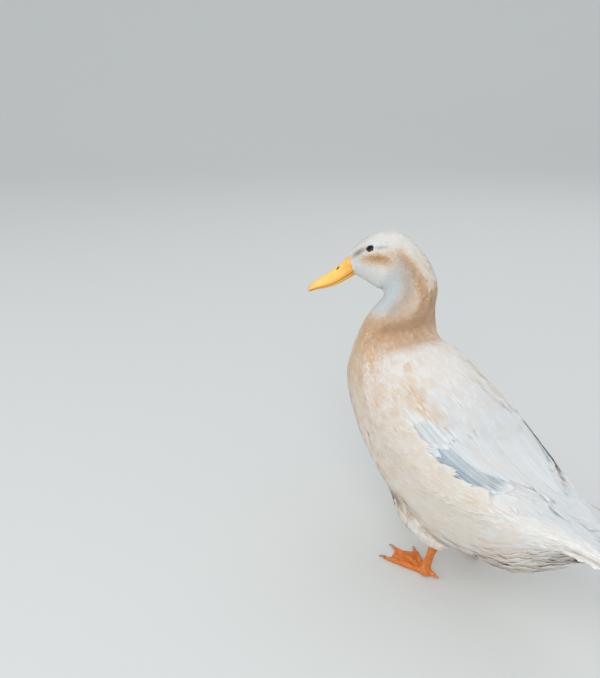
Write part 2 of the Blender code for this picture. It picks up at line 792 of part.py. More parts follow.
def make_foot(name, side):
    """A webbed foot with three long toes, a short hind toe and claws, flat where it meets the floor."""
    stub = level_tube("stub", [
        leg_spot(side, 0.001, 0.0030), leg_spot(side, 0.0005, 0.0075),
        leg_spot(side, 0.0, ANKLE_HEIGHT - NODE_GAP / 2),
    ], (0.0072, 0.0070, 0.0060), 14, 1.2)
    pieces = [stub]
    for turn, length in TOES:
        reaches = [length * share for share in (0.0, 0.22, 0.5, 0.78, 1.0)]
        radii = (0.0056, 0.0040, 0.0038, 0.0032, 0.0024)
        centres = [toe_point(side, turn, reach, radius * 0.82) for reach, radius in zip(reaches, radii)]
        pieces.append(toe_tube("toe", centres, radii))
        claw = [toe_point(side, turn, length + step, 0.0032 - step * 0.16) for step in (-0.003, 0.003, 0.0075)]
        pieces.append(toe_tube("claw", claw, (0.0019, 0.0014, 0.0005)))
    pieces += [web(side, TOES[0], TOES[1]), web(side, TOES[1], TOES[2])]
    hind = [leg_spot(side, 0.0, 0.0085), leg_spot(side, -0.010, 0.0058, -0.004),
            leg_spot(side, -0.017, 0.0032, -0.006)]
    pieces.append(toe_tube("hind_toe", hind, (0.0036, 0.0028, 0.0012)))
    foot = fused(name, pieces, "leg_skin", "MANIFOLD")
    floor = bmesh.new()
    bmesh.ops.create_cube(floor, size=0.4)
    bmesh.ops.translate(floor, verts=floor.verts, vec=(0.0, 0.0, -0.2))
    return cut_away(foot, closed_object("floor", floor))


def centre_on_floor():
    """Moves the whole bird so that the middle of its box stands over the origin, on the floor."""
    corners = [v.co for body in bpy.context.scene.objects for v in body.data.vertices]
    low = [min(corner[axis] for corner in corners) for axis in range(3)]
    high = [max(corner[axis] for corner in corners) for axis in range(3)]
    shift = Vector((-(low[0] + high[0]) / 2, -(low[1] + high[1]) / 2, -low[2]))
    for body in bpy.context.scene.objects:
        body.data.transform(Matrix.Translation(shift))


def main():
    """Builds every node of the bird."""
    for old in list(bpy.data.objects):
        bpy.data.objects.remove(old)
    make_torso()
    make_neck()
    make_head()
    make_upper_bill()
    make_lower_bill()
    make_tail()
    for word, side in (("left", 1), ("right", -1)):
        make_eye(f"eye_{word}", side)
        make_wing(f"wing_{word}", side)
        make_thigh(f"thigh_{word}", side)
        make_shank(f"shank_{word}", side)
        make_foot(f"foot_{word}", side)
    centre_on_floor()


main()
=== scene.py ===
"""The looks of a standing Saxony duck, a buff hen with her head turned to her left.

Metres, +Z up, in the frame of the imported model: the bird looks along -Y and its left side is +X.
One skin carries a coat of small feathers, laid tract by tract along the lie of the real ones. The wings and
the tail have their own larger feathers. Bill, eyes, lids, legs and claws are modelled on their own.
"""

import logging
import math
from dataclasses import dataclass
from enum import Enum
from typing import Callable, Sequence

import bpy
import numpy as np
from mathutils import Matrix, Vector
from mathutils.bvhtree import BVHTree
from mathutils.kdtree import KDTree


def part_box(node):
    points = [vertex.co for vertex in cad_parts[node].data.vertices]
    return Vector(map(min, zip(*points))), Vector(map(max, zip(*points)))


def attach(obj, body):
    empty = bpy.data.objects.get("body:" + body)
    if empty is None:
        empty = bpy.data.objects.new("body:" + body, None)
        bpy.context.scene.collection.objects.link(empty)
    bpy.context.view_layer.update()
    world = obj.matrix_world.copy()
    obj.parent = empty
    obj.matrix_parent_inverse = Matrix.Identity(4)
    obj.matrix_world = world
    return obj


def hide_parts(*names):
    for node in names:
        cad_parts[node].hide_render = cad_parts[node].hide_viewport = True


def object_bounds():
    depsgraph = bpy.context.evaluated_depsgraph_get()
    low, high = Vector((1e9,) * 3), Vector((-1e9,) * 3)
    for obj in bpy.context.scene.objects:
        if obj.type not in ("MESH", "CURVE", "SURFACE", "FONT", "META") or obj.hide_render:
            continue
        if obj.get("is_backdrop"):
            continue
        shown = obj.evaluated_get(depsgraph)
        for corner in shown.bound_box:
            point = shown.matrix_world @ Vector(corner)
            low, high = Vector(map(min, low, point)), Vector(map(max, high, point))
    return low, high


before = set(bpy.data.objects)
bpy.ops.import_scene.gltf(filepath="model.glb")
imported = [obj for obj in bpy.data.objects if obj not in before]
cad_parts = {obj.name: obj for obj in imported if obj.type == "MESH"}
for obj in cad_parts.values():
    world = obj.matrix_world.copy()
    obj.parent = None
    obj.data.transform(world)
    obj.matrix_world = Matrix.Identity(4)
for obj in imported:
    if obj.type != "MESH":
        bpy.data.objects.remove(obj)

log = logging.getLogger("saxony_duck")
Array = np.ndarray
Shape = Callable[[Array, Array], Array]
Values = dict[str, Array]
Place = tuple[float, float, float]
Piece = bpy.types.Object
Material = bpy.types.Material
NodeTree = bpy.types.NodeTree
Socket = bpy.types.NodeSocket
Sockets = bpy.types.bpy_prop_collection
Feed = Socket | float | tuple
TURN = 2 * math.pi


class Side(Enum):
    """The two sides of the bird, with the sign of X on each."""

    LEFT = 1
    RIGHT = -1

    @property
    def word(self) -> str:
        """The side's name as the nodes spell it."""
        return self.name.lower()


class Slot(Enum):
    """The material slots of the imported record."""

    WHITE = "white_feather"
    BUFF = "buff_feather"
    BODY = "body_feather"
    WING = "wing_feather"
    BILL = "bill_horn"
    LEG = "leg_skin"
    EYE = "eye_gloss"


# Small numeric helpers


def smooth(value: Array) -> Array:
    """A smooth step from 0 to 1 as the value goes from 0 to 1."""
    value = np.clip(value, 0.0, 1.0)
    return value * value * (3.0 - 2.0 * value)


def between(value: Array, low: float, high: float, soft: float) -> Array:
    """1 between two limits and 0 outside, with soft edges of the given width centred on the limits."""
    return smooth((value - low) / soft + 0.5) * smooth((high - value) / soft + 0.5)


def unit(vectors: Array) -> Array:
    """The same vectors at length 1."""
    return vectors / np.maximum(np.linalg.norm(vectors, axis=-1, keepdims=True), 1e-9)


def degrees_off_back(angle: Array) -> Array:
    """How many degrees an angle lies away from the middle of the back, from 0 to 180."""
    return np.degrees(np.abs((angle + math.pi) % TURN - math.pi))


def risen(share: Array, end: float) -> Array:
    """A quarter of a sine wave: 0 at share 0, and 1 from the given end on."""
    return np.sin(np.pi / 2 * np.minimum(share / end, 1.0))


def set_out(axes: Array, local: Array) -> Array:
    """Points given in a frame's own axes, as points of the model."""
    return local @ axes[:3, :3].T + axes[:3, 3]


def closed_ring(angle: Array) -> Array:
    """Points of a circle round +Z, from its back."""
    return np.stack([np.sin(angle), 1.2 * np.cos(angle), np.zeros_like(angle)], -1)


def nearest(points: Array, places: Array) -> Array:
    """Finds the nearest point for each place.

    Args:
        points: The points to choose from.
        places: The places.

    Returns:
        The number of the nearest point for each place.
    """
    tree = KDTree(len(points))
    for index, point in enumerate(points):
        tree.insert(point, index)
    tree.balance()
    return np.array([tree.find(place)[1] for place in places])


# The form of the body


@dataclass(frozen=True)
class Section:
    """One cross-section of the flesh, in the bird's own side view, square to the line through all of them."""

    forward: float
    height: float
    slope: float
    half_width: float
    above: float
    below: float


BODY_PITCH = math.radians(18.0)
HIP_HEIGHT = 0.186
HEAD_TURN = math.radians(44.0)
BELLY_FULLNESS = 0.10
NECK_BASE_STATION = 9.0
TURNED_STATION = 12.5
LAST_STATION = 15.0
EYE_RADIUS = 0.0062
EYE_STATION = 13.90
EYE_ANGLE = math.radians(58.0)
EYE_SINK = 0.0036


def on_body(along: float, lift: float, slope: float, half: float, above: float, below: float) -> Section:
    """A section placed along the body's long axis, which rises to the breast by BODY_PITCH."""
    forward = along * math.cos(BODY_PITCH) - lift * math.sin(BODY_PITCH)
    height = HIP_HEIGHT + along * math.sin(BODY_PITCH) + lift * math.cos(BODY_PITCH)
    return Section(forward, height, math.degrees(BODY_PITCH) + slope, half, above, below)


NECK_BASE = on_body(0.131, 0.070, 44, 0.061, 0.022, 0.070)


def on_neck(forward: float, rise: float, slope: float, half: float, above: float, below: float) -> Section:
    """A section placed from the middle of the neck's base."""
    return Section(NECK_BASE.forward + forward, NECK_BASE.height + rise, slope, half, above, below)


SECTIONS = {
    "tail end": on_body(-0.285, 0.112, -37, 0.050, 0.003, 0.004),
    "tail middle": on_body(-0.235, 0.074, -35, 0.045, 0.010, 0.011),
    "tail root": on_body(-0.192, 0.040, -24, 0.048, 0.022, 0.036),
    "rump": on_body(-0.148, 0.018, -8, 0.060, 0.036, 0.077),
    "hips": on_body(-0.094, 0.004, 0, 0.073, 0.053, 0.104),
    "belly": on_body(-0.030, 0.002, 0, 0.081, 0.066, 0.112),
    "chest": on_body(0.039, 0.004, 2, 0.079, 0.070, 0.105),
    "shoulders": on_body(0.093, 0.018, 14, 0.073, 0.063, 0.092),
    "breast": on_body(0.122, 0.042, 34, 0.068, 0.042, 0.081),
    "neck base": NECK_BASE,
    "low neck": on_neck(-0.010, 0.036, 86, 0.047, 0.031, 0.044),
    "high neck": on_neck(-0.016, 0.064, 76, 0.0335, 0.0345, 0.0360),
    "nape": on_neck(-0.008, 0.094, 47, 0.0300, 0.0290, 0.0430),
    "crown": on_neck(0.014, 0.110, 18, 0.0285, 0.0310, 0.0470),
    "brow": on_neck(0.039, 0.108, -3, 0.0255, 0.0260, 0.0375),
    "face": on_neck(0.062, 0.098, -12, 0.0140, 0.0145, 0.0170),
}
ROWS = np.array([
    (s.forward, s.height, s.slope, s.half_width, s.above, s.below) for s in SECTIONS.values()
])


TAIL_PIVOT = 1.55
TAIL_START = 0.026
TAIL_LENGTH = 0.128
TAIL_SPREAD = math.radians(24.5)
TAIL_RISE = 0.010
TAIL_CROWN = 0.0040
TAIL_FALL = 0.0080


def fan_height(order: Array, share: Array) -> Array:
    """Height of the tail's fan over its axes, from its middle (0) to its edge (1) and from root to tip."""
    return TAIL_CROWN - TAIL_FALL * order + TAIL_RISE * share**2


@dataclass(frozen=True)
class WingBed:
    """Where a folded wing lies on the body: stations along it, and the angles of its upper and lower edge."""

    front: float = 7.55
    rear: float = 2.06
    upper: tuple[float, ...] = (46, 25, 13, 7, 4)
    lower: tuple[float, ...] = (70, 92, 100, 82, 22)
    thickness: float = 0.0098
    tip_thickness: float = 0.0052

    def edges(self, along: Array) -> tuple[Array, Array]:
        """The angles of the upper and lower edge in degrees, at a share of the wing's length."""
        place = np.clip(along, 0.0, 1.0) * (len(self.upper) - 1)
        marks = np.arange(len(self.upper))
        return np.interp(place, marks, self.upper), np.interp(place, marks, self.lower)

    def spot(self, along: Array, across: Array, side: int) -> tuple[Array, Array]:
        """The station and angle of a place on the wing.

        Args:
            along: Share of the wing's length, from the shoulder to the wing's tip.
            across: Share of its depth, from the back's edge to the flank's edge.
            side: 1 for the left wing and -1 for the right one.

        Returns:
            The stations and the angles in radians.
        """
        upper, lower = self.edges(along)
        angle = np.radians(upper + (lower - upper) * across) * side
        return self.front + (self.rear - self.front) * along, angle

    def shares(self, station: Array, angle: Array) -> tuple[Array, Array]:
        """The shares of length and depth of the wing at a station and angle of either side."""
        along = (self.front - station) / (self.front - self.rear)
        upper, lower = self.edges(along)
        return along, (degrees_off_back(angle) - upper) / (lower - upper)

    def stack(self, along: Array, across: Array) -> Array:
        """How far the folded wing stands off the body there."""
        rise = smooth((along + 0.18) / 0.40) * smooth((1.12 - along) / 0.16)
        height = self.thickness + (self.tip_thickness - self.thickness) * smooth((along - 0.45) / 0.55)
        outer = np.clip((across - 0.5) / 0.5, 0.0, 1.0)
        spine = 1 - 0.2 * smooth((0.1 - across) / 1.2)
        return height * rise * (1 - outer**2.4) ** 0.6 * spine


class BodySurface:
    """The flesh as one surface, by station from tail (0) to face (15) and by angle round from the back."""

    steps_a_station = 80
    columns = 240
    undertail_depth = 0.0092
    least_pace = 0.004

    def __init__(self, bed: WingBed) -> None:
        """Works out the grid of points, normals, paces and the height of the folded wings over the flesh."""
        self.shift = Vector()
        stations = np.linspace(0.0, LAST_STATION, int(LAST_STATION) * self.steps_a_station + 1)
        angles = np.arange(self.columns) * TURN / self.columns
        frames = np.array([self.frame(station) for station in stations])
        rows = np.array([self.row(station) for station in stations])
        half, above, below = (rows[:, k, None] for k in (3, 4, 5))
        side, rise = np.sin(angles)[None], np.cos(angles)[None]
        belly = np.maximum(0.0, np.sin(np.pi * np.clip((stations - 2.0) / 7.0, 0.0, 1.0)))[:, None]
        swell = np.where(rise < 0, 1 + BELLY_FULLNESS * belly * (2 * side * rise) ** 2, 1.0)
        x = half * side * swell
        z = np.where(rise > 0, above, below) * rise * swell
        across, up, middle = (frames[:, None, :3, k] for k in (0, 2, 3))
        self.points = middle + across * x[..., None] + up * z[..., None]
        along = np.gradient(self.points, stations, axis=0)
        ahead, behind = np.roll(self.points, -1, axis=1), np.roll(self.points, 1, axis=1)
        around = (ahead - behind) / (2 * TURN / self.columns)
        self.normals = unit(np.cross(along, around))
        outward = self.points - middle
        self.normals *= np.where((self.normals * outward).sum(-1, keepdims=True) < 0, -1.0, 1.0)
        self.pace = np.linalg.norm(along, axis=-1, keepdims=True)
        self.girth = np.linalg.norm(around, axis=-1, keepdims=True)
        self._stand_in_frame()
        share = bed.shares(stations[:, None], angles[None])
        below = smooth((degrees_off_back(angles[None]) - 108) / 32)
        undertail = between(stations[:, None], 0.9, 3.0, 0.9) * below
        self.cover = self.softened(bed.stack(*share) + self.undertail_depth * undertail)[..., None]

    @staticmethod
    def row(station: float) -> Array:
        """Reads the smooth curve through the sections.

        Args:
            station: The station.

        Returns:
            The section's six sizes there.
        """
        first = min(max(int(math.floor(station)), 0), len(ROWS) - 2)
        f = station - first
        before, start, end, after = (ROWS[min(max(first + k, 0), len(ROWS) - 1)] for k in (-1, 0, 1, 2))
        return 0.5 * (
            2 * start
            + (end - before) * f
            + (2 * before - 5 * start + 4 * end - after) * f**2
            + (3 * start - before - 3 * end + after) * f**3
        )

    def frame(self, station: float) -> Matrix:
        """Works out the axes of a station.

        Args:
            station: The station.

        Returns:
            X to the bird's left, Y back along its line and Z to its back or crown.
        """
        forward, height, slope = self.row(station)[:3]
        share = float(smooth((station - NECK_BASE_STATION) / (TURNED_STATION - NECK_BASE_STATION)))
        centre = Vector((0.0, -(NECK_BASE.forward - 0.012), 0.0))
        turn = Matrix.Translation(centre) @ Matrix.Rotation(HEAD_TURN * share, 4, "Z")
        turn = turn @ Matrix.Translation(-centre)
        tilt = Matrix.Rotation(-math.radians(slope), 4, "X")
        return Matrix.Translation(self.shift) @ turn @ Matrix.Translation((0.0, -forward, height)) @ tilt

    def _stand_in_frame(self) -> None:
        """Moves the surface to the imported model's place, read from the left eye's box."""
        point, _ = self.spot(np.array([EYE_STATION]), np.array([EYE_ANGLE]), -EYE_SINK)
        low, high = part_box("eye_left")
        shift = (low + high) / 2 - Vector(point[0])
        self.shift = Vector((shift.x, shift.y, 0.0))
        self.points += np.array(self.shift)

    def softened(self, heights: Array, passes: int = 3, reach: int = 7) -> Array:
        """The same field of heights with its steps rounded off."""
        for _ in range(passes):
            padded = np.pad(heights, ((reach, reach), (0, 0)), mode="edge")
            heights = sum(padded[k : k + len(heights)] for k in range(2 * reach + 1)) / (2 * reach + 1)
            around = range(-2, 3)
            heights = sum(np.roll(heights, k, axis=1) for k in around) / len(around)
        return heights

    def sample(self, grid: Array, station: Array, angle: Array) -> Array:
        """Reads one of the surface's grids between its points.

        Args:
            grid: The grid.
            station: Stations from tail to face.
            angle: Angles from the back, in radians.

        Returns:
            The values there.
        """
        i = np.clip(station, 0.0, LAST_STATION) * self.steps_a_station
        j = (angle / TURN % 1.0) * self.columns
        i0 = np.minimum(i.astype(int), len(grid) - 2)
        j0 = j.astype(int)
        fi, fj = (i - i0)[..., None], (j - j0)[..., None]
        j0, j1 = j0 % self.columns, (j0 + 1) % self.columns
        near = grid[i0, j0] * (1 - fj) + grid[i0, j1] * fj
        far = grid[i0 + 1, j0] * (1 - fj) + grid[i0 + 1, j1] * fj
        return near * (1 - fi) + far * fi

    def paces(self, station: Array, angle: Array) -> Array:
        """How many metres a station is long there."""
        return self.sample(self.pace, station, angle)[..., 0]

    def girths(self, station: Array, angle: Array) -> Array:
        """How many metres a radian round the body is long there."""
        return self.sample(self.girth, station, angle)[..., 0]

    def covered(self, station: Array, angle: Array) -> Array:
        """How far the folded wings and the undertail stand off the flesh there."""
        return self.sample(self.cover, station, angle)[..., 0]

    def spot(self, station: Array, angle: Array, lift: Array | float = 0.0) -> tuple[Array, Array]:
        """Points and normals over the flesh.

        Args:
            station: Stations from tail to face.
            angle: Angles from the back over the left side, in radians.
            lift: Height over the flesh.

        Returns:
            The points and the unit normals there.
        """
        normal = unit(self.sample(self.normals, station, angle))
        return self.sample(self.points, station, angle) + normal * np.asarray(lift)[..., None], normal

    def drawn_in(self, points: Array, station: Array) -> Array:
        """Draws points near the tail's end in, close above and below its fan.

        Args:
            points: The points.
            station: Their stations.

        Returns:
            The points, moved.
        """
        axes = np.array(self.frame(TAIL_PIVOT))
        local = (points - axes[:3, 3]) @ axes[:3, :3]
        reach = np.maximum(local[..., 1], 0.012)
        order = np.clip(np.abs(local[..., 0]) / (reach * math.tan(TAIL_SPREAD)), 0.0, 1.0)
        share = np.clip((reach - TAIL_START) / (TAIL_LENGTH - TAIL_START), 0.0, 1.0)
        fan = fan_height(order, share)
        apart = local[..., 2] - fan
        close = np.clip(apart, -0.0095, 0.0026)
        local[..., 2] = fan + apart + (close - apart) * smooth((2.1 - station) / 1.6)
        return set_out(axes, local)

    def walk(
        self, station: Array, angle: Array, heading: Array, curl: Array, length: Array, steps: int
    ) -> tuple[Array, Array]:
        """Paths along the surface, each towards the tail and a little aside.

        Args:
            station: Where each path starts.
            angle: Where each path starts, round the body.
            heading: Direction in radians off the way to the tail, positive towards the belly.
            curl: How much the direction changes up to the path's end.
            length: The length of each path.
            steps: How many steps a path has.

        Returns:
            Stations and angles of the paths' points, each of shape (paths, steps + 1).
        """
        side = np.where(np.sin(angle) < 0, -1.0, 1.0)
        stations, angles = [station], [angle]
        for k in range(steps):
            way = heading + curl * (k + 0.5) / steps
            pace = np.maximum(self.paces(stations[-1], angles[-1]), self.least_pace)
            girth = np.maximum(self.girths(stations[-1], angles[-1]), self.least_pace)
            step = length / steps
            stations.append(stations[-1] - step * np.cos(way) / pace)
            angles.append(angles[-1] + side * step * np.sin(way) / girth)
        return np.stack(stations, 1), np.stack(angles, 1)


# Markings


@dataclass(frozen=True)
class Pigments:
    """What colours each feather: buff, slate blue and dark brown from 0 to 1, and how pale its fringe is."""

    # On the neck and back, buff and slate also hold painted shade.
    buff: Array
    slate: Array
    dark: Array
    fringe: Array

    def stacked(self) -> Array:
        """The four values side by side."""
        return np.stack([self.buff, self.slate, self.dark, self.fringe], -1)


class Markings:
    """The pattern of the breed with some painted shade on neck and back, alike on skin and coat, by station
    and angle.
    """

    band_stations = (9.0, 10.0, 10.8, 11.5, 12.2, 12.7, 13.0)
    band_middle = (0, 14, 34, 56, 66, 64, 60)
    base_stations = (0, 2, 3.5, 5, 6.3, 7.4, 8.4, 9.0, 9.6, 10.1, 10.5, 11.0, 12.0, 15.0)
    base_buff = (0.10, 0.17, 0.24, 0.27, 0.34, 0.48, 0.60, 0.68, 0.72, 0.58, 0.36, 0.22, 0.10, 0.04)

    def at(self, station: Array, angle: Array) -> Pigments:
        """The pigments of the plumage at stations and angles, with some painted shade on the neck and back.

        Args:
            station: Stations from tail to face.
            angle: Angles from the back, in radians, of either side.

        Returns:
            The pigments there.
        """
        off = degrees_off_back(angle)
        buff = np.interp(station, self.base_stations, self.base_buff)
        buff = self._body(station, off, buff)
        buff = self._neck(station, off, buff)
        buff, dark = self._head(station, off, buff)
        # Grey on the back and scapulars: partly a slate tint of the plumage, partly painted shade.
        slate = 0.26 * smooth((6.0 - station) / 1.6) * smooth((58 - off) / 30)
        # Grey on the neck's side and throat: partly a grey tint of the plumage, partly painted shade where
        # the head shades the neck.
        slate = slate + 0.36 * between(station, 10.0, 12.6, 0.7) * smooth((off - 50) / 30)
        mantle = between(station, 4.6, 8.6, 1.0) * smooth((80 - off) / 20)
        fringe = 0.2 + 0.5 * mantle + 0.3 * between(station, 6.0, 9.2, 1.0)
        return Pigments(buff, slate, dark, np.clip(fringe, 0, 1) * (station < 11.5))

    @staticmethod
    def _body(station: Array, off: Array, buff: Array) -> Array:
        """Adds the white back, the pale shoulder and the cream flank and belly.

        Args:
            station: Stations from tail to face.
            off: Degrees off the middle of the back.
            buff: The buff so far.

        Returns:
            The buff with these.
        """
        front = smooth((off - 95) / 50) * between(station, 8.2, 10.2, 0.8)
        buff = buff * (1 - 0.35 * front)
        back = smooth((8.2 - station) / 1.4) * smooth((64 - off) / 26)
        buff = buff * (1 - 0.50 * back)
        white = smooth((5.0 - station) / 1.2) * smooth((52 - off) / 26)
        buff = buff * (1 - 0.9 * white)
        edge = between(station, 4.9, 6.0, 0.7) * between(off, 30, 47, 14)
        buff = buff + 0.30 * edge
        rump = smooth((3.4 - station) / 0.8)
        return buff * (1 - 0.5 * rump * smooth((110 - off) / 40))

    def _neck(self, station: Array, off: Array, buff: Array) -> Array:
        """Adds the pale throat, the cream of the neck's side, which is partly painted shade, and the buff
        band from the cheek to the nape.

        Args:
            station: Stations from tail to face.
            off: Degrees off the middle of the back.
            buff: The buff so far.

        Returns:
            The buff with these.
        """
        limit = np.interp(station, (9.6, 10.3, 11.0, 12.0), (14, 36, 44, 40))
        pale = smooth((station - 9.75) / 0.55) * smooth((13.2 - station) / 0.5) * smooth((off - limit) / 26)
        # The cream of the neck's side is partly its own buff tint and partly painted shade under the head.
        side = 0.50 * smooth((116 - off) / 40)
        buff = buff + (side - buff) * pale
        middle = np.interp(station, self.band_stations, self.band_middle)
        apart = np.where(station < 11.0, np.maximum(off - middle, 0.0), np.abs(off - middle))
        strength = np.interp(station, (9.0, 10.0, 12.2, 12.7, 13.2), (0.70, 0.74, 0.74, 0.56, 0.10))
        band = np.exp(-((apart / 20.0) ** 2)) * strength
        nape = np.interp(station, (9.5, 10.2, 10.9, 11.6, 12.4), (0.6, 0.54, 0.40, 0.26, 0.12))
        nape = nape * smooth((middle - off) / 14 + 0.5)
        return np.maximum(buff, np.maximum(band, nape) * smooth((station - 9.0) / 0.4))

    @staticmethod
    def _head(station: Array, off: Array, buff: Array) -> tuple[Array, Array]:
        """Adds the white crown, brow, cheek and throat, the cheek stripe and the dark lore.

        Args:
            station: Stations from tail to face.
            off: Degrees off the middle of the back.
            buff: The buff so far.

        Returns:
            The buff with these, and the dark.
        """
        head = smooth((station - 12.2) / 0.5)
        cheek = np.exp(-(((station - 13.45) / 0.88) ** 2) - ((off - 87 + (station - 13.3) * 3) / 12.5) ** 2)
        cheek = cheek * smooth((14.70 - station) / 0.4)
        crown = smooth((34 - off) / 26) * smooth((station - 12.4) / 1.2)
        temple = np.exp(-(((station - 12.8) / 0.5) ** 2) - ((off - 74) / 17) ** 2)
        face = 0.02 + 0.14 * crown + np.maximum(0.90 * cheek, 0.46 * temple)
        lore = np.exp(-(((station - 14.42) / 0.36) ** 2) - ((off - 56) / (9.5 + 8 * (station - 14.2))) ** 2)
        corner = np.exp(-(((station - 13.42) / 0.26) ** 2) - ((off - 60) / 4.5) ** 2)
        dark = head * np.maximum(0.72 * lore, 0.4 * corner)
        keep = np.maximum(face, buff * (1 - smooth((station - 12.5) / 0.9)))
        return buff * (1 - head) + keep * head, dark


# Feathers


@dataclass(frozen=True)
class Plume:
    """How one kind of small feather is cut into barbs.

    Args:
        strands: Barbs, or bundles of them, in a feather.
        rings: Rings of points along a strand, before its tip.
        thickness: Height of a strand's ridge.
        camber: How much lower the feather's edges lie than its middle, as a share of its width.
        round_tip: How much shorter the outer strands are than the middle one.
        fray: How uneven the strands' lengths and directions are.
        root_width: The feather's width at its root, as a share of the full width.
        overlap: Width of a strand against the space it has.
    """

    strands: int = 9
    rings: int = 3
    thickness: float = 0.00028
    camber: float = 0.05
    round_tip: float = 0.34
    fray: float = 0.10
    root_width: float = 0.35
    overlap: float = 1.5


@dataclass(frozen=True)
class Blade:
    """How one kind of flight feather is cut: a vane on a shaft, with worn edges.

    Args:
        rings: Steps along the vane.
        columns: Points across it, an odd number.
        thickness: Thickness of the vane.
        shaft: Height of the shaft over it.
        camber: How much lower its edges lie than its middle, as a share of its width.
        point: Share of the length over which it narrows to the tip.
        leading: Width of the outer web against the inner one.
        notch: How deep its edges are worn, as a share of the width.
    """

    rings: int = 14
    columns: int = 7
    thickness: float = 0.00035
    shaft: float = 0.0005
    camber: float = 0.05
    point: float = 0.35
    leading: float = 0.7
    notch: float = 0.10


@dataclass
class Laid:
    """Feathers laid over a surface: their paths, sizes, pigments and place on the skin's unwrap.

    Args:
        points: Points of each feather's shaft, of shape (feathers, steps + 1, 3).
        normals: Normals along it, of the same shape.
        width: Full width of each feather.
        pigments: Four pigments of each feather.
        unwrap: Place of each root on the unwrap of the skin.
    """

    points: Array
    normals: Array
    width: Array
    pigments: Array
    unwrap: Array

    def __len__(self) -> int:
        """How many feathers there are."""
        return len(self.points)

    def kept(self, keep: Array) -> "Laid":
        """Only the feathers that a mask names."""
        parts = (self.points, self.normals, self.width, self.pigments, self.unwrap)
        return Laid(*(part[keep] for part in parts))

    def sideways(self) -> Array:
        """The direction across each feather, at each point of its shaft."""
        ahead = np.gradient(self.points, axis=1)
        return unit(np.cross(ahead, self.normals))

    def along(self, values: Array, share: Array) -> Array:
        """Values of the shaft's points, read at shares of its length, of shape (feathers, ...)."""
        last = values.shape[1] - 1
        place = np.clip(share, 0.0, 1.0) * last
        first = np.minimum(place.astype(int), last - 1)
        part = (place - first)[..., None]
        rows = np.arange(len(values)).reshape((-1,) + (1,) * (share.ndim - 1))
        return values[rows, first] * (1 - part) + values[rows, first + 1] * part


@dataclass
class Shell:
    """Plain arrays of a mesh: points, corners of its faces, and values on its points."""

    points: Array
    corners: Array
    sizes: Array
    rim: Array
    values: Values
    unwrap: Array


PATCH_SIZE = 0.003
VALUE_NAMES = ("along", "across", "tuft", "strand", "buff", "slate", "dark", "fringe")


def strand_faces(rings: int) -> tuple[Array, Array, Array]:
    """The faces of one strand, a three-sided tapering tube.

    Args:
        rings: Rings of points before its tip.

    Returns:
        The faces' corners, their sizes, and which points are on the strand's rim.
    """
    corners: list[int] = [0, 1, 2]
    sizes = [3]
    for k in range(rings - 1):
        left, right, ridge = 3 * k, 3 * k + 1, 3 * k + 2
        corners += [left, left + 3, right + 3, right]
        corners += [right, right + 3, ridge + 3, ridge]
        corners += [left, ridge, ridge + 3, left + 3]
        sizes += [4, 4, 4]
    left, right, ridge, tip = 3 * rings - 3, 3 * rings - 2, 3 * rings - 1, 3 * rings
    corners += [left, tip, right, right, tip, ridge, left, ridge, tip]
    sizes += [3, 3, 3]
    return np.array(corners), np.array(sizes), np.array([True, True, False] * rings + [True])


def blade_faces(rings: int, columns: int) -> tuple[Array, Array, Array]:
    """The faces of one vane, a thin plate closed all round.

    Args:
        rings: Steps along it.
        columns: Points across it.

    Returns:
        The faces' corners, their sizes, and which points are on the vane's rim.
    """
    bottom = (rings + 1) * columns
    corners: list[int] = []
    for r in range(rings):
        for c in range(columns - 1):
            a, b = r * columns + c, (r + 1) * columns + c
            corners += [a, a + 1, b + 1, b]
            corners += [bottom + a, bottom + b, bottom + b + 1, bottom + a + 1]
        left, right = r * columns, r * columns + columns - 1
        corners += [left, left + columns, bottom + left + columns, bottom + left]
        corners += [right, bottom + right, bottom + right + columns, right + columns]
    for c in range(columns - 1):
        root, tip = c, rings * columns + c
        corners += [root, bottom + root, bottom + root + 1, root + 1]
        corners += [tip, tip + 1, bottom + tip + 1, bottom + tip]
    rim = np.zeros((2, rings + 1, columns), bool)
    rim[:, (0, -1)] = rim[:, :, (0, -1)] = True
    return np.array(corners), np.full(len(corners) // 4, 4), rim.ravel()


def repeated(
    corners: Array, sizes: Array, rim: Array, points_each: int, count: int
) -> tuple[Array, Array, Array]:
    """The faces and rims of many like pieces, from those of one."""
    shifts = np.arange(count)[:, None] * points_each
    return (corners[None] + shifts).ravel(), np.tile(sizes, count), np.tile(rim, count)


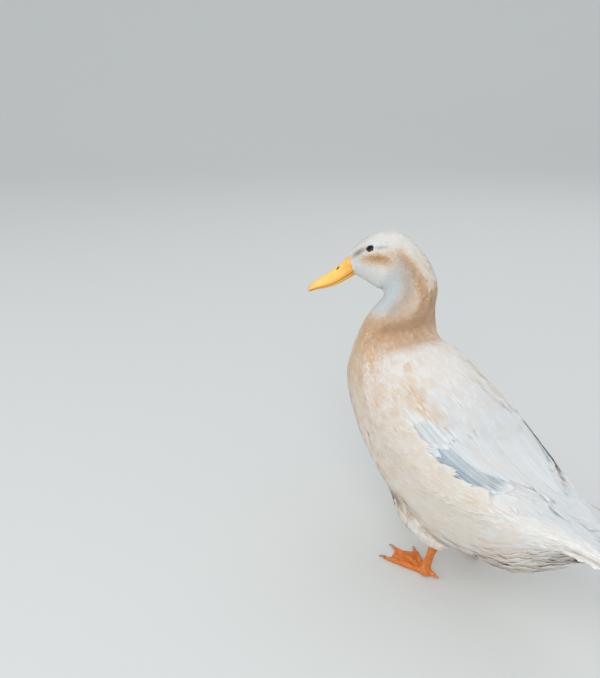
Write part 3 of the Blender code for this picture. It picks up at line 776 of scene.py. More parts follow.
def stranded(laid: Laid, plume: Plume, rng: np.random.Generator) -> Shell:
    """Cuts each feather into tapering strands that fan out from its shaft.

    Args:
        laid: The feathers.
        plume: How they are cut.
        rng: The seeded source of their small differences.

    Returns:
        The strands as one mesh.
    """
    count, n, rings = len(laid), plume.strands, plume.rings
    across = np.linspace(-1.0, 1.0, n)[None] + rng.normal(0.0, 0.35 / n, (count, n))
    reach = 1 - plume.round_tip * across**2 - plume.fray * rng.random((count, n))
    inner = np.linspace(1 - 0.5 / rings, 0.42, rings - 1)[::-1] - 0.12 * (rings == 2)
    share = np.concatenate([[0.0], inner, [1.0]])
    t = share[None, None] * reach[..., None]
    fan = plume.root_width + (1 - plume.root_width) * risen(t, 0.6)
    width = laid.width[:, None, None]
    wander = rng.normal(0.0, plume.fray * 0.35, (count, n))[..., None] * t**2
    x = width / 2 * (across[..., None] * fan + wander)
    z = -plume.camber * width * across[..., None] ** 2
    z = z + rng.normal(0.0, plume.thickness * 0.6, (count, n))[..., None] * t
    taper = np.interp(share, (0.0, 0.3, 0.85, 1.0), (0.6, 1.0, 0.85, 0.4))
    middle = laid.along(laid.points, t)
    side = laid.along(laid.sideways(), t)
    normal = unit(laid.along(laid.normals, t))
    middle = middle + side * x[..., None] + normal * z[..., None]
    half = (width / n * plume.overlap / 2 * taper[None, None])[..., None] * side
    ridge = normal * (plume.thickness * taper)[None, None, :, None]
    rows = np.stack([middle - half, middle + half, middle + ridge], 3)[:, :, :rings]
    points = np.concatenate([rows.reshape(count, n, rings * 3, 3), middle[:, :, rings:]], 2)
    t_points = np.concatenate([np.repeat(t[:, :, :rings], 3, axis=2), t[:, :, rings:]], 2)
    values = {
        "along": t_points,
        "across": np.broadcast_to(across[..., None], t_points.shape),
        "tuft": np.broadcast_to(rng.random(count)[:, None, None], t_points.shape),
        "strand": np.broadcast_to(rng.random((count, n))[..., None], t_points.shape),
    }
    each = rings * 3 + 1
    return finished_shell(points, repeated(*strand_faces(rings), each, count * n), values, laid)


def bladed(laid: Laid, blade: Blade, rng: np.random.Generator) -> Shell:
    """Cuts each flight feather as a vane of two webs on a shaft.

    Args:
        laid: The feathers.
        blade: How they are cut.
        rng: The seeded source of their small differences.

    Returns:
        The vanes as one mesh.
    """
    count, rings, columns = len(laid), blade.rings, blade.columns
    t = (np.arange(rings + 1) / rings) ** 0.9
    across = np.sign(np.linspace(-1, 1, columns)) * np.abs(np.linspace(-1, 1, columns)) ** 1.15
    swell = 0.45 + 0.55 * risen(t, 0.35)
    end = np.sqrt(np.maximum(0.0, 1 - np.maximum(0.0, (t - 1 + blade.point) / blade.point) ** 2.0))
    profile = np.maximum(swell * end, 0.05)[None, :, None]
    web = np.where(across < 0, blade.leading, 1.0)[None, None]
    worn = 1 - blade.notch * rng.random((count, rings + 1, columns)) * (np.abs(across) > 0.9)
    width = laid.width[:, None, None]
    x = width / (1 + blade.leading) * across[None, None] * web * profile * worn
    share = np.broadcast_to(t[None, :, None], (count, rings + 1, columns))
    middle = laid.along(laid.points, share)
    side = laid.along(laid.sideways(), share)
    normal = unit(laid.along(laid.normals, share))
    ridge = blade.shaft * np.exp(-((across / 0.12) ** 2))[None, None] * (1 - 0.7 * share)
    z = ridge - blade.camber * width * np.abs(across)[None, None] ** 2
    thin = blade.thickness * (1 - 0.6 * np.abs(across))[None, None] * (1 - 0.4 * share)
    top = middle + side * x[..., None] + normal * z[..., None]
    bottom = top - normal * (thin + ridge)[..., None]
    points = np.stack([top, bottom], 1).reshape(count, 1, -1, 3)
    shape = (count, 1, points.shape[2])
    values = {
        "along": np.broadcast_to(share[:, None], (count, 2, rings + 1, columns)).reshape(shape),
        "across": np.broadcast_to(across, (count, 2, rings + 1, columns)).reshape(shape),
        "tuft": np.broadcast_to(rng.random(count)[:, None, None], shape),
        "strand": np.broadcast_to(rng.random(count)[:, None, None], shape),
    }
    faces = repeated(*blade_faces(rings, columns), points.shape[2], count)
    return finished_shell(points, faces, values, laid)


def finished_shell(points: Array, faces: tuple[Array, Array, Array], values: Values, laid: Laid) -> Shell:
    """Adds the pigments and the small patch of the skin's unwrap that each feather has.

    Args:
        points: Points of shape (feathers, parts, points of a part, 3).
        faces: Corners, sizes and rims.
        values: The values that vary over a feather.
        laid: The feathers.

    Returns:
        The mesh.
    """
    shape = points.shape[:3]
    for k, name in enumerate(VALUE_NAMES[4:]):
        values[name] = np.broadcast_to(laid.pigments[:, None, None, k], shape)
    patch = np.stack([values["across"] / 2, values["along"] - 0.5], -1) * PATCH_SIZE
    unwrap = laid.unwrap[:, None, None] + patch
    flat = {name: np.ascontiguousarray(value, np.float32).ravel() for name, value in values.items()}
    return Shell(points.reshape(-1, 3), *faces, flat, unwrap.reshape(-1, 2))


def merged(shells: Sequence[Shell]) -> Shell:
    """Puts several meshes into one.

    Args:
        shells: The meshes.

    Returns:
        The one mesh.
    """
    starts = np.cumsum([0] + [len(shell.points) for shell in shells[:-1]])
    points, sizes, rim, unwrap = (
        np.concatenate(arrays) for arrays in zip(*((s.points, s.sizes, s.rim, s.unwrap) for s in shells))
    )
    corners = np.concatenate([shell.corners + start for shell, start in zip(shells, starts)])
    values = {name: np.concatenate([shell.values[name] for shell in shells]) for name in VALUE_NAMES}
    return Shell(points, corners, sizes, rim, values, unwrap)


def linked(name: str, data: bpy.types.ID) -> Piece:
    """A new object of the scene that shows this data."""
    body = bpy.data.objects.new(name, data)
    bpy.context.scene.collection.objects.link(body)
    return body


def as_object(name: str, shell: Shell, material: Material) -> Piece:
    """Makes an object of a mesh's arrays, with its values as attributes and its bake map.

    Args:
        name: The object's name.
        shell: The arrays.
        material: Its material.

    Returns:
        The object.
    """
    mesh = bpy.data.meshes.new(name)
    mesh.vertices.add(len(shell.points))
    mesh.vertices.foreach_set("co", shell.points.astype(np.float32).ravel())
    mesh.loops.add(len(shell.corners))
    mesh.loops.foreach_set("vertex_index", shell.corners.astype(np.int32))
    mesh.polygons.add(len(shell.sizes))
    starts = np.concatenate([[0], np.cumsum(shell.sizes)[:-1]]).astype(np.int32)
    mesh.polygons.foreach_set("loop_start", starts)
    mesh.polygons.foreach_set("use_smooth", np.ones(len(shell.sizes), bool))
    mesh.update(calc_edges=True)
    ends = np.empty(len(mesh.edges) * 2, np.int32)
    mesh.edges.foreach_get("vertices", ends)
    mesh.edges.foreach_set("use_edge_sharp", shell.rim[ends].reshape(-1, 2).all(1))
    for key, value in shell.values.items():
        mesh.attributes.new(key, "FLOAT", "POINT").data.foreach_set("value", value)
    bake = mesh.uv_layers.new(name="OFBake")
    bake.data.foreach_set("uv", shell.unwrap[shell.corners].astype(np.float32).ravel())
    mesh.materials.append(material)
    return linked(name, mesh)


def placed(body: Piece, replaced: Sequence[str] = ()) -> Piece:
    """Lets a finished piece ride on the bird and reports it.

    Args:
        body: The piece.
        replaced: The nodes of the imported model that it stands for.

    Returns:
        The piece.
    """
    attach(body, "root")
    if replaced:
        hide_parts(*replaced)
    triangles = len(body.data.loops) - 2 * len(body.data.polygons)
    log.info("%-26s %7d triangles", body.name, triangles)
    return body


def unwrap_of(station: Array, angle: Array) -> Array:
    """A place on the unwrap of the skin: round the body from the belly's seam, and along it."""
    return np.stack([(angle / TURN + 0.5) % 1.0, station / LAST_STATION], -1)


# Materials


class NodeKit:
    """Adds and links nodes in one tree, a small shorthand."""

    def __init__(self, tree: NodeTree) -> None:
        """Keeps the tree that the nodes go in."""
        self.tree = tree

    def add(self, kind: str, inputs: dict | None = None, **settings) -> bpy.types.Node:
        """Adds a node.

        Args:
            kind: The node's type.
            inputs: Values or output sockets for its inputs, by name or number.
            settings: The node's own settings.

        Returns:
            The node.
        """
        node = self.tree.nodes.new(kind)
        for key, value in settings.items():
            setattr(node, key, value)
        self.feed(node.inputs, inputs or {})
        return node

    def feed(self, sockets: Sockets | dict, inputs: dict) -> None:
        """Links or sets some inputs of a node.

        Args:
            sockets: The node's inputs.
            inputs: Values or output sockets for them, by name or number.
        """
        for key, value in inputs.items():
            if isinstance(value, Socket):
                self.tree.links.new(value, sockets[key])
            else:
                sockets[key].default_value = value

    def group(self, tree: NodeTree, inputs: dict) -> Sockets:
        """The outputs of a node group, fed with these inputs."""
        return self.add("ShaderNodeGroup", inputs, node_tree=tree).outputs

    def math(self, operation: str, first: Feed, second: Feed = 0.5, clamp: bool = False) -> Feed:
        """The output of a math node."""
        feeds = {0: first, 1: second}
        return self.add("ShaderNodeMath", feeds, operation=operation, use_clamp=clamp).outputs[0]

    def line(self, start: float, slope: float, value: Feed) -> Socket:
        """A start plus a slope times a value."""
        return self.math("ADD", start, self.math("MULTIPLY", value, slope))

    def off_half(self, value: Feed, amount: float) -> Socket:
        """How far a value lies over a half, times an amount."""
        return self.math("MULTIPLY", self.math("SUBTRACT", value, 0.5), amount)

    def mix(self, factor: Feed, first: Feed, second: Feed, blend: str = "MIX") -> Socket:
        """The output of a colour mix.

        Args:
            factor: The share of the second colour.
            first: The first colour.
            second: The second colour.
            blend: How the two are mixed.

        Returns:
            The mixed colour.
        """
        node = self.add("ShaderNodeMix", data_type="RGBA", blend_type=blend)
        sockets = {socket.identifier: socket for socket in node.inputs}
        self.feed(sockets, {"Factor_Float": factor, "A_Color": first, "B_Color": second})
        return next(socket for socket in node.outputs if socket.identifier == "Result_Color")

    def grey(self, value: Feed) -> Socket:
        """A grey of this brightness."""
        return self.add("ShaderNodeCombineColor", {0: value, 1: value, 2: value}).outputs[0]

    def place(self) -> Socket:
        """The place on the object."""
        return self.add("ShaderNodeTexCoord").outputs["Object"]

    def noise(self, place: Feed, scale: Feed, detail: float) -> Socket:
        """Soft clouds between 0 and 1."""
        return self.add("ShaderNodeTexNoise", {"Vector": place, "Scale": scale, "Detail": detail}).outputs[0]

    def step(self, value: Feed, low: Feed, high: Feed) -> Socket:
        """A smooth step of a value between two limits."""
        settings = {"interpolation_type": "SMOOTHSTEP"}
        return self.add("ShaderNodeMapRange", {0: value, 1: low, 2: high}, **settings).outputs[0]

    def ramp(self, value: Feed, stops: Sequence[tuple[float, tuple[float, ...]]]) -> Socket:
        """The colour of a ramp.

        Args:
            value: Where on the ramp.
            stops: Its places and colours.

        Returns:
            The colour.
        """
        node = self.add("ShaderNodeValToRGB", {0: value})
        marks = node.color_ramp.elements
        while len(marks) < len(stops):
            marks.new(0.5)
        for mark, (place, colour) in zip(marks, stops):
            mark.position = place
            mark.color = colour
        return node.outputs[0]

    def attribute(self, name: str) -> Socket:
        """The value of a mesh attribute."""
        return self.add("ShaderNodeAttribute", attribute_name=name).outputs["Fac"]


def from_srgb(red: int, green: int, blue: int) -> tuple[float, float, float, float]:
    """A colour given as on a screen, from 0 to 255, as the shaders take it."""
    def linear(value: float) -> float:
        """One channel of it."""
        return value / 12.92 if value <= 0.04045 else ((value + 0.055) / 1.055) ** 2.4

    return (linear(red / 255), linear(green / 255), linear(blue / 255), 1.0)


def new_group(
    name: str, inputs: dict[str, str], outputs: dict[str, str]
) -> tuple[NodeTree, NodeKit, Sockets, Sockets]:
    """A new shader node group.

    Args:
        name: Its name.
        inputs: The kinds of its inputs by name.
        outputs: The kinds of its outputs by name.

    Returns:
        The group, a kit that adds nodes to it, what it is given and what it puts out.
    """
    tree = bpy.data.node_groups.new(name, "ShaderNodeTree")
    for key, kind in inputs.items():
        tree.interface.new_socket(name=key, in_out="INPUT", socket_type=kind)
    for key, kind in outputs.items():
        tree.interface.new_socket(name=key, in_out="OUTPUT", socket_type=kind)
    kit = NodeKit(tree)
    return tree, kit, kit.add("NodeGroupInput").outputs, kit.add("NodeGroupOutput").inputs


FLOAT, COLOUR, VECTOR = "NodeSocketFloat", "NodeSocketColor", "NodeSocketVector"
FEATHER_INPUTS = ("Buff", "Slate", "Dark", "Fringe", "Along", "Across", "Tuft", "Strand")


@dataclass(frozen=True)
class PlumageColours:
    """The colours of the breed's plumage."""

    white: tuple = from_srgb(250, 249, 245)
    cream: tuple = from_srgb(244, 228, 208)
    buff: tuple = from_srgb(226, 186, 146)
    deep_buff: tuple = from_srgb(198, 142, 98)
    slate: tuple = from_srgb(146, 170, 184)
    brown: tuple = from_srgb(92, 66, 44)

    def group(self) -> NodeTree:
        """The node group that turns pigments and a place on a feather into a colour, with painted shade
        towards each root.
        """
        tree, kit, v, out = new_group(
            "plumage colour", dict.fromkeys((*FEATHER_INPUTS, "Rim"), FLOAT), {"Color": COLOUR}
        )
        cloud = kit.noise(kit.place(), 55.0, 3.0)
        edge = kit.math("MAXIMUM", kit.math("ABSOLUTE", v["Across"]), kit.math("MULTIPLY", v["Along"], 1.05))
        fringe = kit.math("MULTIPLY", kit.step(edge, v["Rim"], 1.0), v["Fringe"])
        amount = kit.math("ADD", v["Buff"], kit.off_half(v["Tuft"], 0.10))
        amount = kit.math("ADD", amount, kit.off_half(v["Strand"], 0.16))
        spread = kit.math("MULTIPLY", kit.off_half(cloud, 0.30), kit.step(v["Buff"], 0.02, 0.3))
        amount = kit.math("ADD", amount, spread)
        amount = kit.math("SUBTRACT", amount, kit.math("MULTIPLY", fringe, 0.34), clamp=True)
        colour = kit.ramp(
            amount, ((0.0, self.white), (0.30, self.cream), (0.62, self.buff), (1.0, self.deep_buff))
        )
        slate = kit.math("MULTIPLY", v["Slate"], kit.math("SUBTRACT", 1.0, kit.math("MULTIPLY", fringe, 0.9)))
        slate = kit.math("MULTIPLY", slate, kit.line(0.62, 0.65, cloud))
        colour = kit.mix(slate, colour, self.slate)
        colour = kit.mix(v["Dark"], colour, self.brown)
        # Painted shade: each feather is darker towards its root, where the feathers over it shade it.
        root = kit.line(0.94, 0.06, kit.step(v["Along"], 0.05, 0.5))
        # A random tone for each strand, times the painted root shade.
        shade = kit.math("MULTIPLY", kit.line(0.94, 0.08, v["Strand"]), root)
        kit.feed(out, {"Color": kit.mix(1.0, colour, kit.grey(shade), "MULTIPLY")})
        return tree


def barb_group() -> NodeTree:
    """The node group that gives the relief of barbs, slanting from a feather's shaft to its edges."""
    inputs = dict.fromkeys(("Along", "Across", "Count"), FLOAT)
    tree, kit, v, out = new_group("barbs", inputs, {"Height": FLOAT})
    slant = kit.math("MULTIPLY", kit.math("ABSOLUTE", v["Across"]), 0.22)
    wave = kit.math("SINE", kit.math("MULTIPLY", kit.math("SUBTRACT", v["Along"], slant), v["Count"]))
    kit.feed(out, {"Height": kit.math("ADD", kit.math("MULTIPLY", wave, 0.5), 0.5)})
    return tree


def grain_group() -> NodeTree:
    """The node group of horn's grain: a colour mask of soft clouds and a fine relief."""
    tree, kit, v, out = new_group(
        "horn grain", {"Vector": VECTOR, "Scale": FLOAT}, {"Mask": FLOAT, "Height": FLOAT}
    )
    cloud = kit.noise(v["Vector"], v["Scale"], 4.0)
    pores = kit.noise(v["Vector"], kit.math("MULTIPLY", v["Scale"], 7.0), 3.0)
    kit.feed(out, {"Mask": kit.step(cloud, 0.32, 0.70), "Height": pores})
    return tree


class Finishes:
    """All finishes of the bird, made once."""

    def __init__(self) -> None:
        """Builds the node groups and the materials."""
        self.colours = PlumageColours()
        self.plumage_group = self.colours.group()
        self.barbs = barb_group()
        self.grain = grain_group()
        self.coat = self.plumage("coat", 0.0, 0.85)
        self.flight = self.plumage("flight_feathers", 260.0, 0.62)
        self.bill = self.horn("bill_horn", self.bill_colour, 0.34, 160.0)
        self.claw = self.horn("claw_horn", self.claw_colour, 0.42, 400.0)
        self.leg = self.scaled_skin()
        self.eye = self.eyeball()
        self.lid = self.lid_skin()
        self.floor = self.floor_paper()

    @staticmethod
    def shader(name: str) -> tuple[Material, NodeKit, bpy.types.Node]:
        """A new material with its node kit and its main shader."""
        material = bpy.data.materials.new(name)
        material.use_nodes = True
        return material, NodeKit(material.node_tree), material.node_tree.nodes["Principled BSDF"]

    @staticmethod
    def relief(kit: NodeKit, height: Feed, strength: float, distance: float) -> Socket:
        """The normal of a relief with this height."""
        feeds = {"Height": height, "Strength": strength, "Distance": distance}
        return kit.add("ShaderNodeBump", feeds).outputs[0]

    def plumage(self, name: str, barbs: float, roughness: float) -> Material:
        # pit also carries the nostril's painted shade to the bill's colour.
        """Feathers, coloured by their pigments.

        Args:
            name: The material's name.
            barbs: How many barbs a flight feather's relief has, or 0 for feathers cut into strands.
            roughness: How dull they are.

        Returns:
            The material.
        """
        material, kit, shader = self.shader(name)
        values = {key: kit.attribute(key.lower()) for key in FEATHER_INPUTS}
        colour = kit.group(self.plumage_group, {**values, "Rim": 0.86 if barbs else 0.62})["Color"]
        if barbs:
            inputs = {"Along": values["Along"], "Across": values["Across"], "Count": barbs}
            waves = kit.group(self.barbs, inputs)["Height"]
            shaft = kit.step(kit.math("ABSOLUTE", values["Across"]), 0.0, 0.16)
            streak = kit.math("MULTIPLY", kit.line(0.93, 0.07, waves), kit.line(0.86, 0.14, shaft))
            colour = kit.mix(1.0, colour, kit.grey(streak), "MULTIPLY")
            kit.feed(shader.inputs, {"Normal": self.relief(kit, waves, 0.35, 0.0004)})
        kit.feed(shader.inputs, {
            "Base Color": colour, "Roughness": roughness, "Specular IOR Level": 0.25,
            "Sheen Weight": 0.15, "Sheen Roughness": 0.6,
            "Subsurface Weight": 0.35, "Subsurface Radius": (1.0, 0.8, 0.65), "Subsurface Scale": 0.002,
        })
        return material

    def horn(self, name: str, colouring: Callable, roughness: float, scale: float) -> Material:
        """Horn, as of the bill and claws, with soft clouds of colour and fine pores.

        Args:
            name: The material's name.
            colouring: Gives the colour for a kit and the mask of the clouds.
            roughness: How dull it is.
            scale: How fine the clouds are.

        Returns:
            The material.
        """
        material, kit, shader = self.shader(name)
        grain = kit.group(self.grain, {"Vector": kit.place(), "Scale": scale})
        kit.feed(shader.inputs, {
            "Base Color": colouring(kit, grain["Mask"]),
            "Normal": self.relief(kit, grain["Height"], 0.25, 0.0004),
            "Roughness": roughness, "Coat Weight": 0.25, "Coat Roughness": 0.25,
            "Subsurface Weight": 0.12, "Subsurface Radius": (0.004, 0.002, 0.001),
        })
        return material

    @staticmethod
    def bill_colour(kit: NodeKit, mask: Feed) -> Socket:
        """Orange-yellow, deeper at the face and along the mouth, with a pale nail and painted shade darkening
        the nostrils.

        Args:
            kit: Adds the nodes.
            mask: Where the paler clouds are.

        Returns:
            The colour.
        """
        along, edge, pit = (kit.attribute(name) for name in ("along", "edge", "pit"))
        length = kit.ramp(along, (
            (0.0, from_srgb(228, 158, 56)), (0.30, from_srgb(247, 192, 84)),
            (0.80, from_srgb(247, 198, 100)), (1.0, from_srgb(232, 182, 118)),
        ))
        colour = kit.mix(kit.math("MULTIPLY", mask, 0.35), length, from_srgb(253, 220, 136))
        colour = kit.mix(kit.math("MULTIPLY", edge, 0.8), colour, from_srgb(206, 122, 26))
        # Painted shade: the nostril pits are painted near black, as the shade inside an open nostril.
        return kit.mix(pit, colour, from_srgb(40, 22, 10))

    @staticmethod
    def claw_colour(kit: NodeKit, mask: Feed) -> Socket:
        """Pale horn with darker clouds."""
        return kit.mix(mask, from_srgb(206, 170, 130), from_srgb(120, 84, 58))

    def scaled_skin(self) -> Material:
        """The orange skin of the shanks and feet, with small scales and darker creases between them.

        Returns:
            The material.
        """
        material, kit, shader = self.shader("leg_scales")
        place = kit.place()
        cells = kit.add("ShaderNodeTexVoronoi", {"Vector": place, "Scale": 620.0}, feature="DISTANCE_TO_EDGE")
        creases = kit.step(cells.outputs["Distance"], 0.02, 0.16)
        cloud = kit.step(kit.noise(place, 90.0, 4.0), 0.35, 0.7)
        colour = kit.mix(cloud, from_srgb(226, 122, 42), from_srgb(240, 152, 70))
        kit.feed(shader.inputs, {
            "Base Color": kit.mix(creases, from_srgb(176, 88, 30), colour),
            "Normal": self.relief(kit, creases, 0.5, 0.0003), "Roughness": 0.5,
            "Subsurface Weight": 0.08, "Subsurface Radius": (0.004, 0.0015, 0.0008),
        })
        return material

    def eyeball(self) -> Material:
        """The wet eye: a black pupil in a dark brown iris.

        Returns:
            The material.
        """
        material, kit, shader = self.shader("eye_gloss")
        iris = kit.ramp(kit.attribute("polar"), (
            (0.0, from_srgb(5, 4, 4)), (0.28, from_srgb(5, 4, 4)), (0.33, from_srgb(34, 20, 12)),
            (0.60, from_srgb(26, 15, 9)), (0.72, from_srgb(8, 6, 5)), (1.0, from_srgb(8, 6, 5)),
        ))
        kit.feed(shader.inputs, {
            "Base Color": iris, "Roughness": 0.10, "Specular IOR Level": 0.16,
            "Coat Weight": 0.12, "Coat Roughness": 0.02,
        })
        return material

    def lid_skin(self) -> Material:
        """The thin bare rim of the lids.

        Returns:
            The material.
        """
        material, kit, shader = self.shader("lid_skin")
        folds = kit.noise(kit.place(), 900.0, 3.0)
        kit.feed(shader.inputs, {
            "Base Color": kit.mix(folds, from_srgb(38, 28, 22), from_srgb(84, 64, 48)),
            "Normal": self.relief(kit, folds, 0.4, 0.0003), "Roughness": 0.55,
        })
        return material

    def floor_paper(self) -> Material:
        """The plain pale floor.

        Returns:
            The material.
        """
        material, kit, shader = self.shader("studio_floor")
        kit.feed(shader.inputs, {"Base Color": from_srgb(206, 208, 206), "Roughness": 0.9})
        return material


# Modelling helpers


def select_only(*bodies: Piece) -> None:
    """Selects these objects and nothing else, the first one active."""
    bpy.ops.object.select_all(action="DESELECT")
    for body in bodies:
        body.select_set(True)
    bpy.context.view_layer.objects.active = bodies[0]


def vertex_places(body: Piece) -> Array:
    """The points of an object's mesh."""
    flat = np.empty(len(body.data.vertices) * 3, np.float32)
    body.data.vertices.foreach_get("co", flat)
    return flat.reshape(-1, 3).astype(float)


def move_points(body: Piece, places: Array) -> None:
    """Moves the points of an object's mesh to these places."""
    body.data.vertices.foreach_set("co", places.astype(np.float32).ravel())


def loft(name: str, rings: int, sides: int, shape: Shape) -> Piece:
    """A closed tube, wrapped from a grid.

    Args:
        name: The object's name.
        rings: Steps along the tube.
        sides: Steps round it.
        shape: Gives points for shares round and along the tube.

    Returns:
        The object, closed at both ends, with its faces pointing out.
    """
    bpy.ops.object.select_all(action="DESELECT")
    bpy.ops.mesh.primitive_grid_add(x_subdivisions=sides, y_subdivisions=rings, size=2.0)
    body = bpy.context.object
    body.name = body.data.name = name
    flat = vertex_places(body).astype(np.float32)
    move_points(body, shape((flat[:, 0] + 1) / 2, (flat[:, 1] + 1) / 2))
    bpy.ops.object.mode_set(mode="EDIT")
    bpy.ops.mesh.select_all(action="SELECT")
    bpy.ops.mesh.remove_doubles(threshold=1e-6)
    bpy.ops.mesh.fill_holes(sides=0)
    bpy.ops.mesh.select_all(action="SELECT")
    bpy.ops.mesh.normals_make_consistent(inside=False)
    bpy.ops.object.mode_set(mode="OBJECT")
    bpy.ops.object.shade_smooth()
    return body


def joined(name: str, bodies: Sequence[Piece]) -> Piece:
    """Joins several objects.

    Args:
        name: The name of the whole.
        bodies: The objects.

    Returns:
        The one object.
    """
    select_only(*bodies)
    if len(bodies) > 1:
        bpy.ops.object.join()
    body = bpy.context.object
    body.name = body.data.name = name
    return body


def melted(body: Piece, voxel: float, smoothing: int) -> Piece:
    """Melts overlapping closed forms into one smooth surface.

    Args:
        body: The object that holds the forms.
        voxel: Size of the grid that they are melted on.
        smoothing: How often the surface is smoothed.

    Returns:
        The object.
    """
    select_only(body)
    remesh = body.modifiers.new("Melt", "REMESH")
    remesh.mode = "VOXEL"
    remesh.voxel_size = voxel
    remesh.use_smooth_shade = True
    bpy.ops.object.modifier_apply(modifier="Melt")
    relax = body.modifiers.new("Relax", "SMOOTH")
    relax.factor = 0.5
    relax.iterations = smoothing
    bpy.ops.object.modifier_apply(modifier="Relax")
    return body


def give_value(body: Piece, name: str, values: Array) -> None:
    """Stores one value on each point of a mesh."""
    stored = body.data.attributes.new(name, "FLOAT", "POINT")
    stored.data.foreach_set("value", np.ascontiguousarray(values, np.float32))


def dressed(body: Piece, material: Material) -> Piece:
    """Gives an object its one material."""
    body.data.materials.clear()
    body.data.materials.append(material)
    return body


# Skin


THIGH_RINGS = (
    (0.0602, -0.0140, 0.000, 0.0095, 0.0115),
    (0.0640, -0.0110, 0.000, 0.0150, 0.0190),
    (0.0710, -0.0020, 0.001, 0.0220, 0.0290),
    (0.0830, 0.0080, 0.002, 0.0280, 0.0380),
    (0.1000, 0.0160, 0.003, 0.0310, 0.0430),
    (0.1200, 0.0200, 0.002, 0.0280, 0.0420),
)
STANCE_HALF_WIDTH = 0.043
ANKLE_Y = 0.026
ANKLE_HEIGHT = 0.012
HOCK_HEIGHT = 0.060
SHANK_LEAN = 0.014


@dataclass(frozen=True)
class CoatDepth:
    """How deep the coat is, from the flesh's outer form down to the skin, by station."""

    stations: tuple[float, ...] = (0.0, 2.0, 4.0, 8.0, 9.5, 11.0, 12.0, 13.5, 15.0)
    depths: tuple[float, ...] = (0.0008, 0.0020, 0.0032, 0.0030, 0.0022, 0.0015, 0.0010, 0.0006, 0.0004)

    def at(self, station: Array) -> Array:
        """The depth at a station."""
        return np.interp(station, self.stations, self.depths)


class Thigh:
    """One feathered thigh, as a surface of its own under the flank."""

    def __init__(self, surface: BodySurface, side: Side) -> None:
        """Reads the thigh's rings and the place of the model."""
        self.side = side
        self.rows = np.array(THIGH_RINGS)
        self.shift = np.array(surface.shift)

    def spot(self, level: Array, angle: Array, lift: Array | float = 0.0) -> tuple[Array, Array]:
        """Points and normals over the thigh.

        Args:
            level: Levels from the hock (0) to the top (5).
            angle: Angles round the thigh, from its back.
            lift: Height over it.

        Returns:
            The points and the unit normals there.
        """
        def place(level: Array, angle: Array) -> Array:
            """Points on the thigh."""
            height, forward, aside, width, depth = (
                np.interp(level, np.arange(len(self.rows)), self.rows[:, k]) for k in range(5)
            )
            x = self.side.value * (STANCE_HALF_WIDTH + aside) + width * np.sin(angle)
            return np.stack([x, ANKLE_Y - forward + depth * np.cos(angle), height], -1) + self.shift

        step = 0.05
        along = place(level + step, angle) - place(level - step, angle)
        around = place(level, angle + step) - place(level, angle - step)
        normal = unit(np.cross(around, along))
        outward = np.stack([np.sin(angle), np.cos(angle), np.zeros_like(angle)], -1)
        normal = normal * np.where((normal * outward).sum(-1, keepdims=True) < 0, -1.0, 1.0)
        return place(level, angle) + normal * np.asarray(lift)[..., None], normal

    def holds(self, places: Array) -> Array:
        """Finds the places inside the thigh, below its top.

        Args:
            places: The places.

        Returns:
            True for those inside.
        """
        place = places - self.shift
        height = place[..., 2]
        heights, *sizes = self.rows[:, :5].T
        forward, aside, width, depth = (np.interp(height, heights, size) for size in sizes)
        x = (place[..., 0] - self.side.value * (STANCE_HALF_WIDTH + aside)) / width
        y = (place[..., 1] - (ANKLE_Y - forward)) / depth
        return (x**2 + y**2 < 1) & (height > self.rows[0, 0]) & (height < self.rows[-1, 0] + 0.004)


@dataclass
class Skin:
    """The one skin under the coat, from the tail's core to the bill, with both thighs."""

    surface: BodySurface
    depth: CoatDepth
    markings: Markings
    rings: int = 230
    sides: int = 96
    tail_start: float = 0.85
    voxel: float = 0.0022
    cover_share: float = 0.92
    thigh_depth: float = 0.0022

    def build(self, finishes: Finishes) -> Piece:
        """Lofts the body and thighs, melts them into one and paints the markings on.

        Args:
            finishes: The materials.

        Returns:
            The skin, which replaces the nodes of flesh.
        """
        def body_shape(round_share: Array, along_share: Array) -> Array:
            """Points of the body's skin."""
            station = self.tail_start + (LAST_STATION - self.tail_start) * along_share
            angle = round_share * TURN
            lift = self.cover_share * self.surface.covered(station, angle) - self.depth.at(station)
            return self.surface.drawn_in(self.surface.spot(station, angle, lift)[0], station)

        forms = [loft("skin", self.rings, self.sides, body_shape)] + [self.thigh_form(side) for side in Side]
        skin = melted(joined("skin", forms), self.voxel, 3)
        self.paint(skin)
        replaced = ("torso", "neck", "head", "thigh_left", "thigh_right")
        return placed(dressed(skin, finishes.coat), replaced)

    def thigh_form(self, side: Side) -> Piece:
        """The form of one thigh's skin."""
        thigh = Thigh(self.surface, side)

        def shape(u: Array, v: Array) -> Array:
            """Points of the thigh's skin."""
            return thigh.spot(0.05 + 4.9 * v, u * TURN, -self.thigh_depth)[0]

        return loft("thigh_form", 24, 32, shape)

    def paint(self, skin: Piece) -> None:
        """Stores the markings on the skin, and the values of a feather near its root."""
        places = vertex_places(skin)
        pigments = self.markings.at(*nearest_on_body(self.surface, places)).stacked()
        for k, name in enumerate(VALUE_NAMES[4:]):
            give_value(skin, name, pigments[:, k])
        # These near-root values also give the skin the coat's painted root shade.
        for name, value in (("along", 0.12), ("across", 0.0), ("tuft", 0.5), ("strand", 0.2)):
            give_value(skin, name, np.full(len(places), value))


def nearest_on_body(surface: BodySurface, places: Array) -> tuple[Array, Array]:
    """Finds the part of the flesh nearest to each place.

    Args:
        surface: The flesh.
        places: The places.

    Returns:
        The stations and angles there.
    """
    rows, columns = surface.points.shape[:2]
    picked_rows, picked_columns = np.arange(0, rows, 10), np.arange(0, columns, 3)
    found = nearest(surface.points[np.ix_(picked_rows, picked_columns)].reshape(-1, 3), places)
    station = picked_rows[found // len(picked_columns)] / surface.steps_a_station
    angle = picked_columns[found % len(picked_columns)] * TURN / columns
    return station, angle


# The coat of small feathers


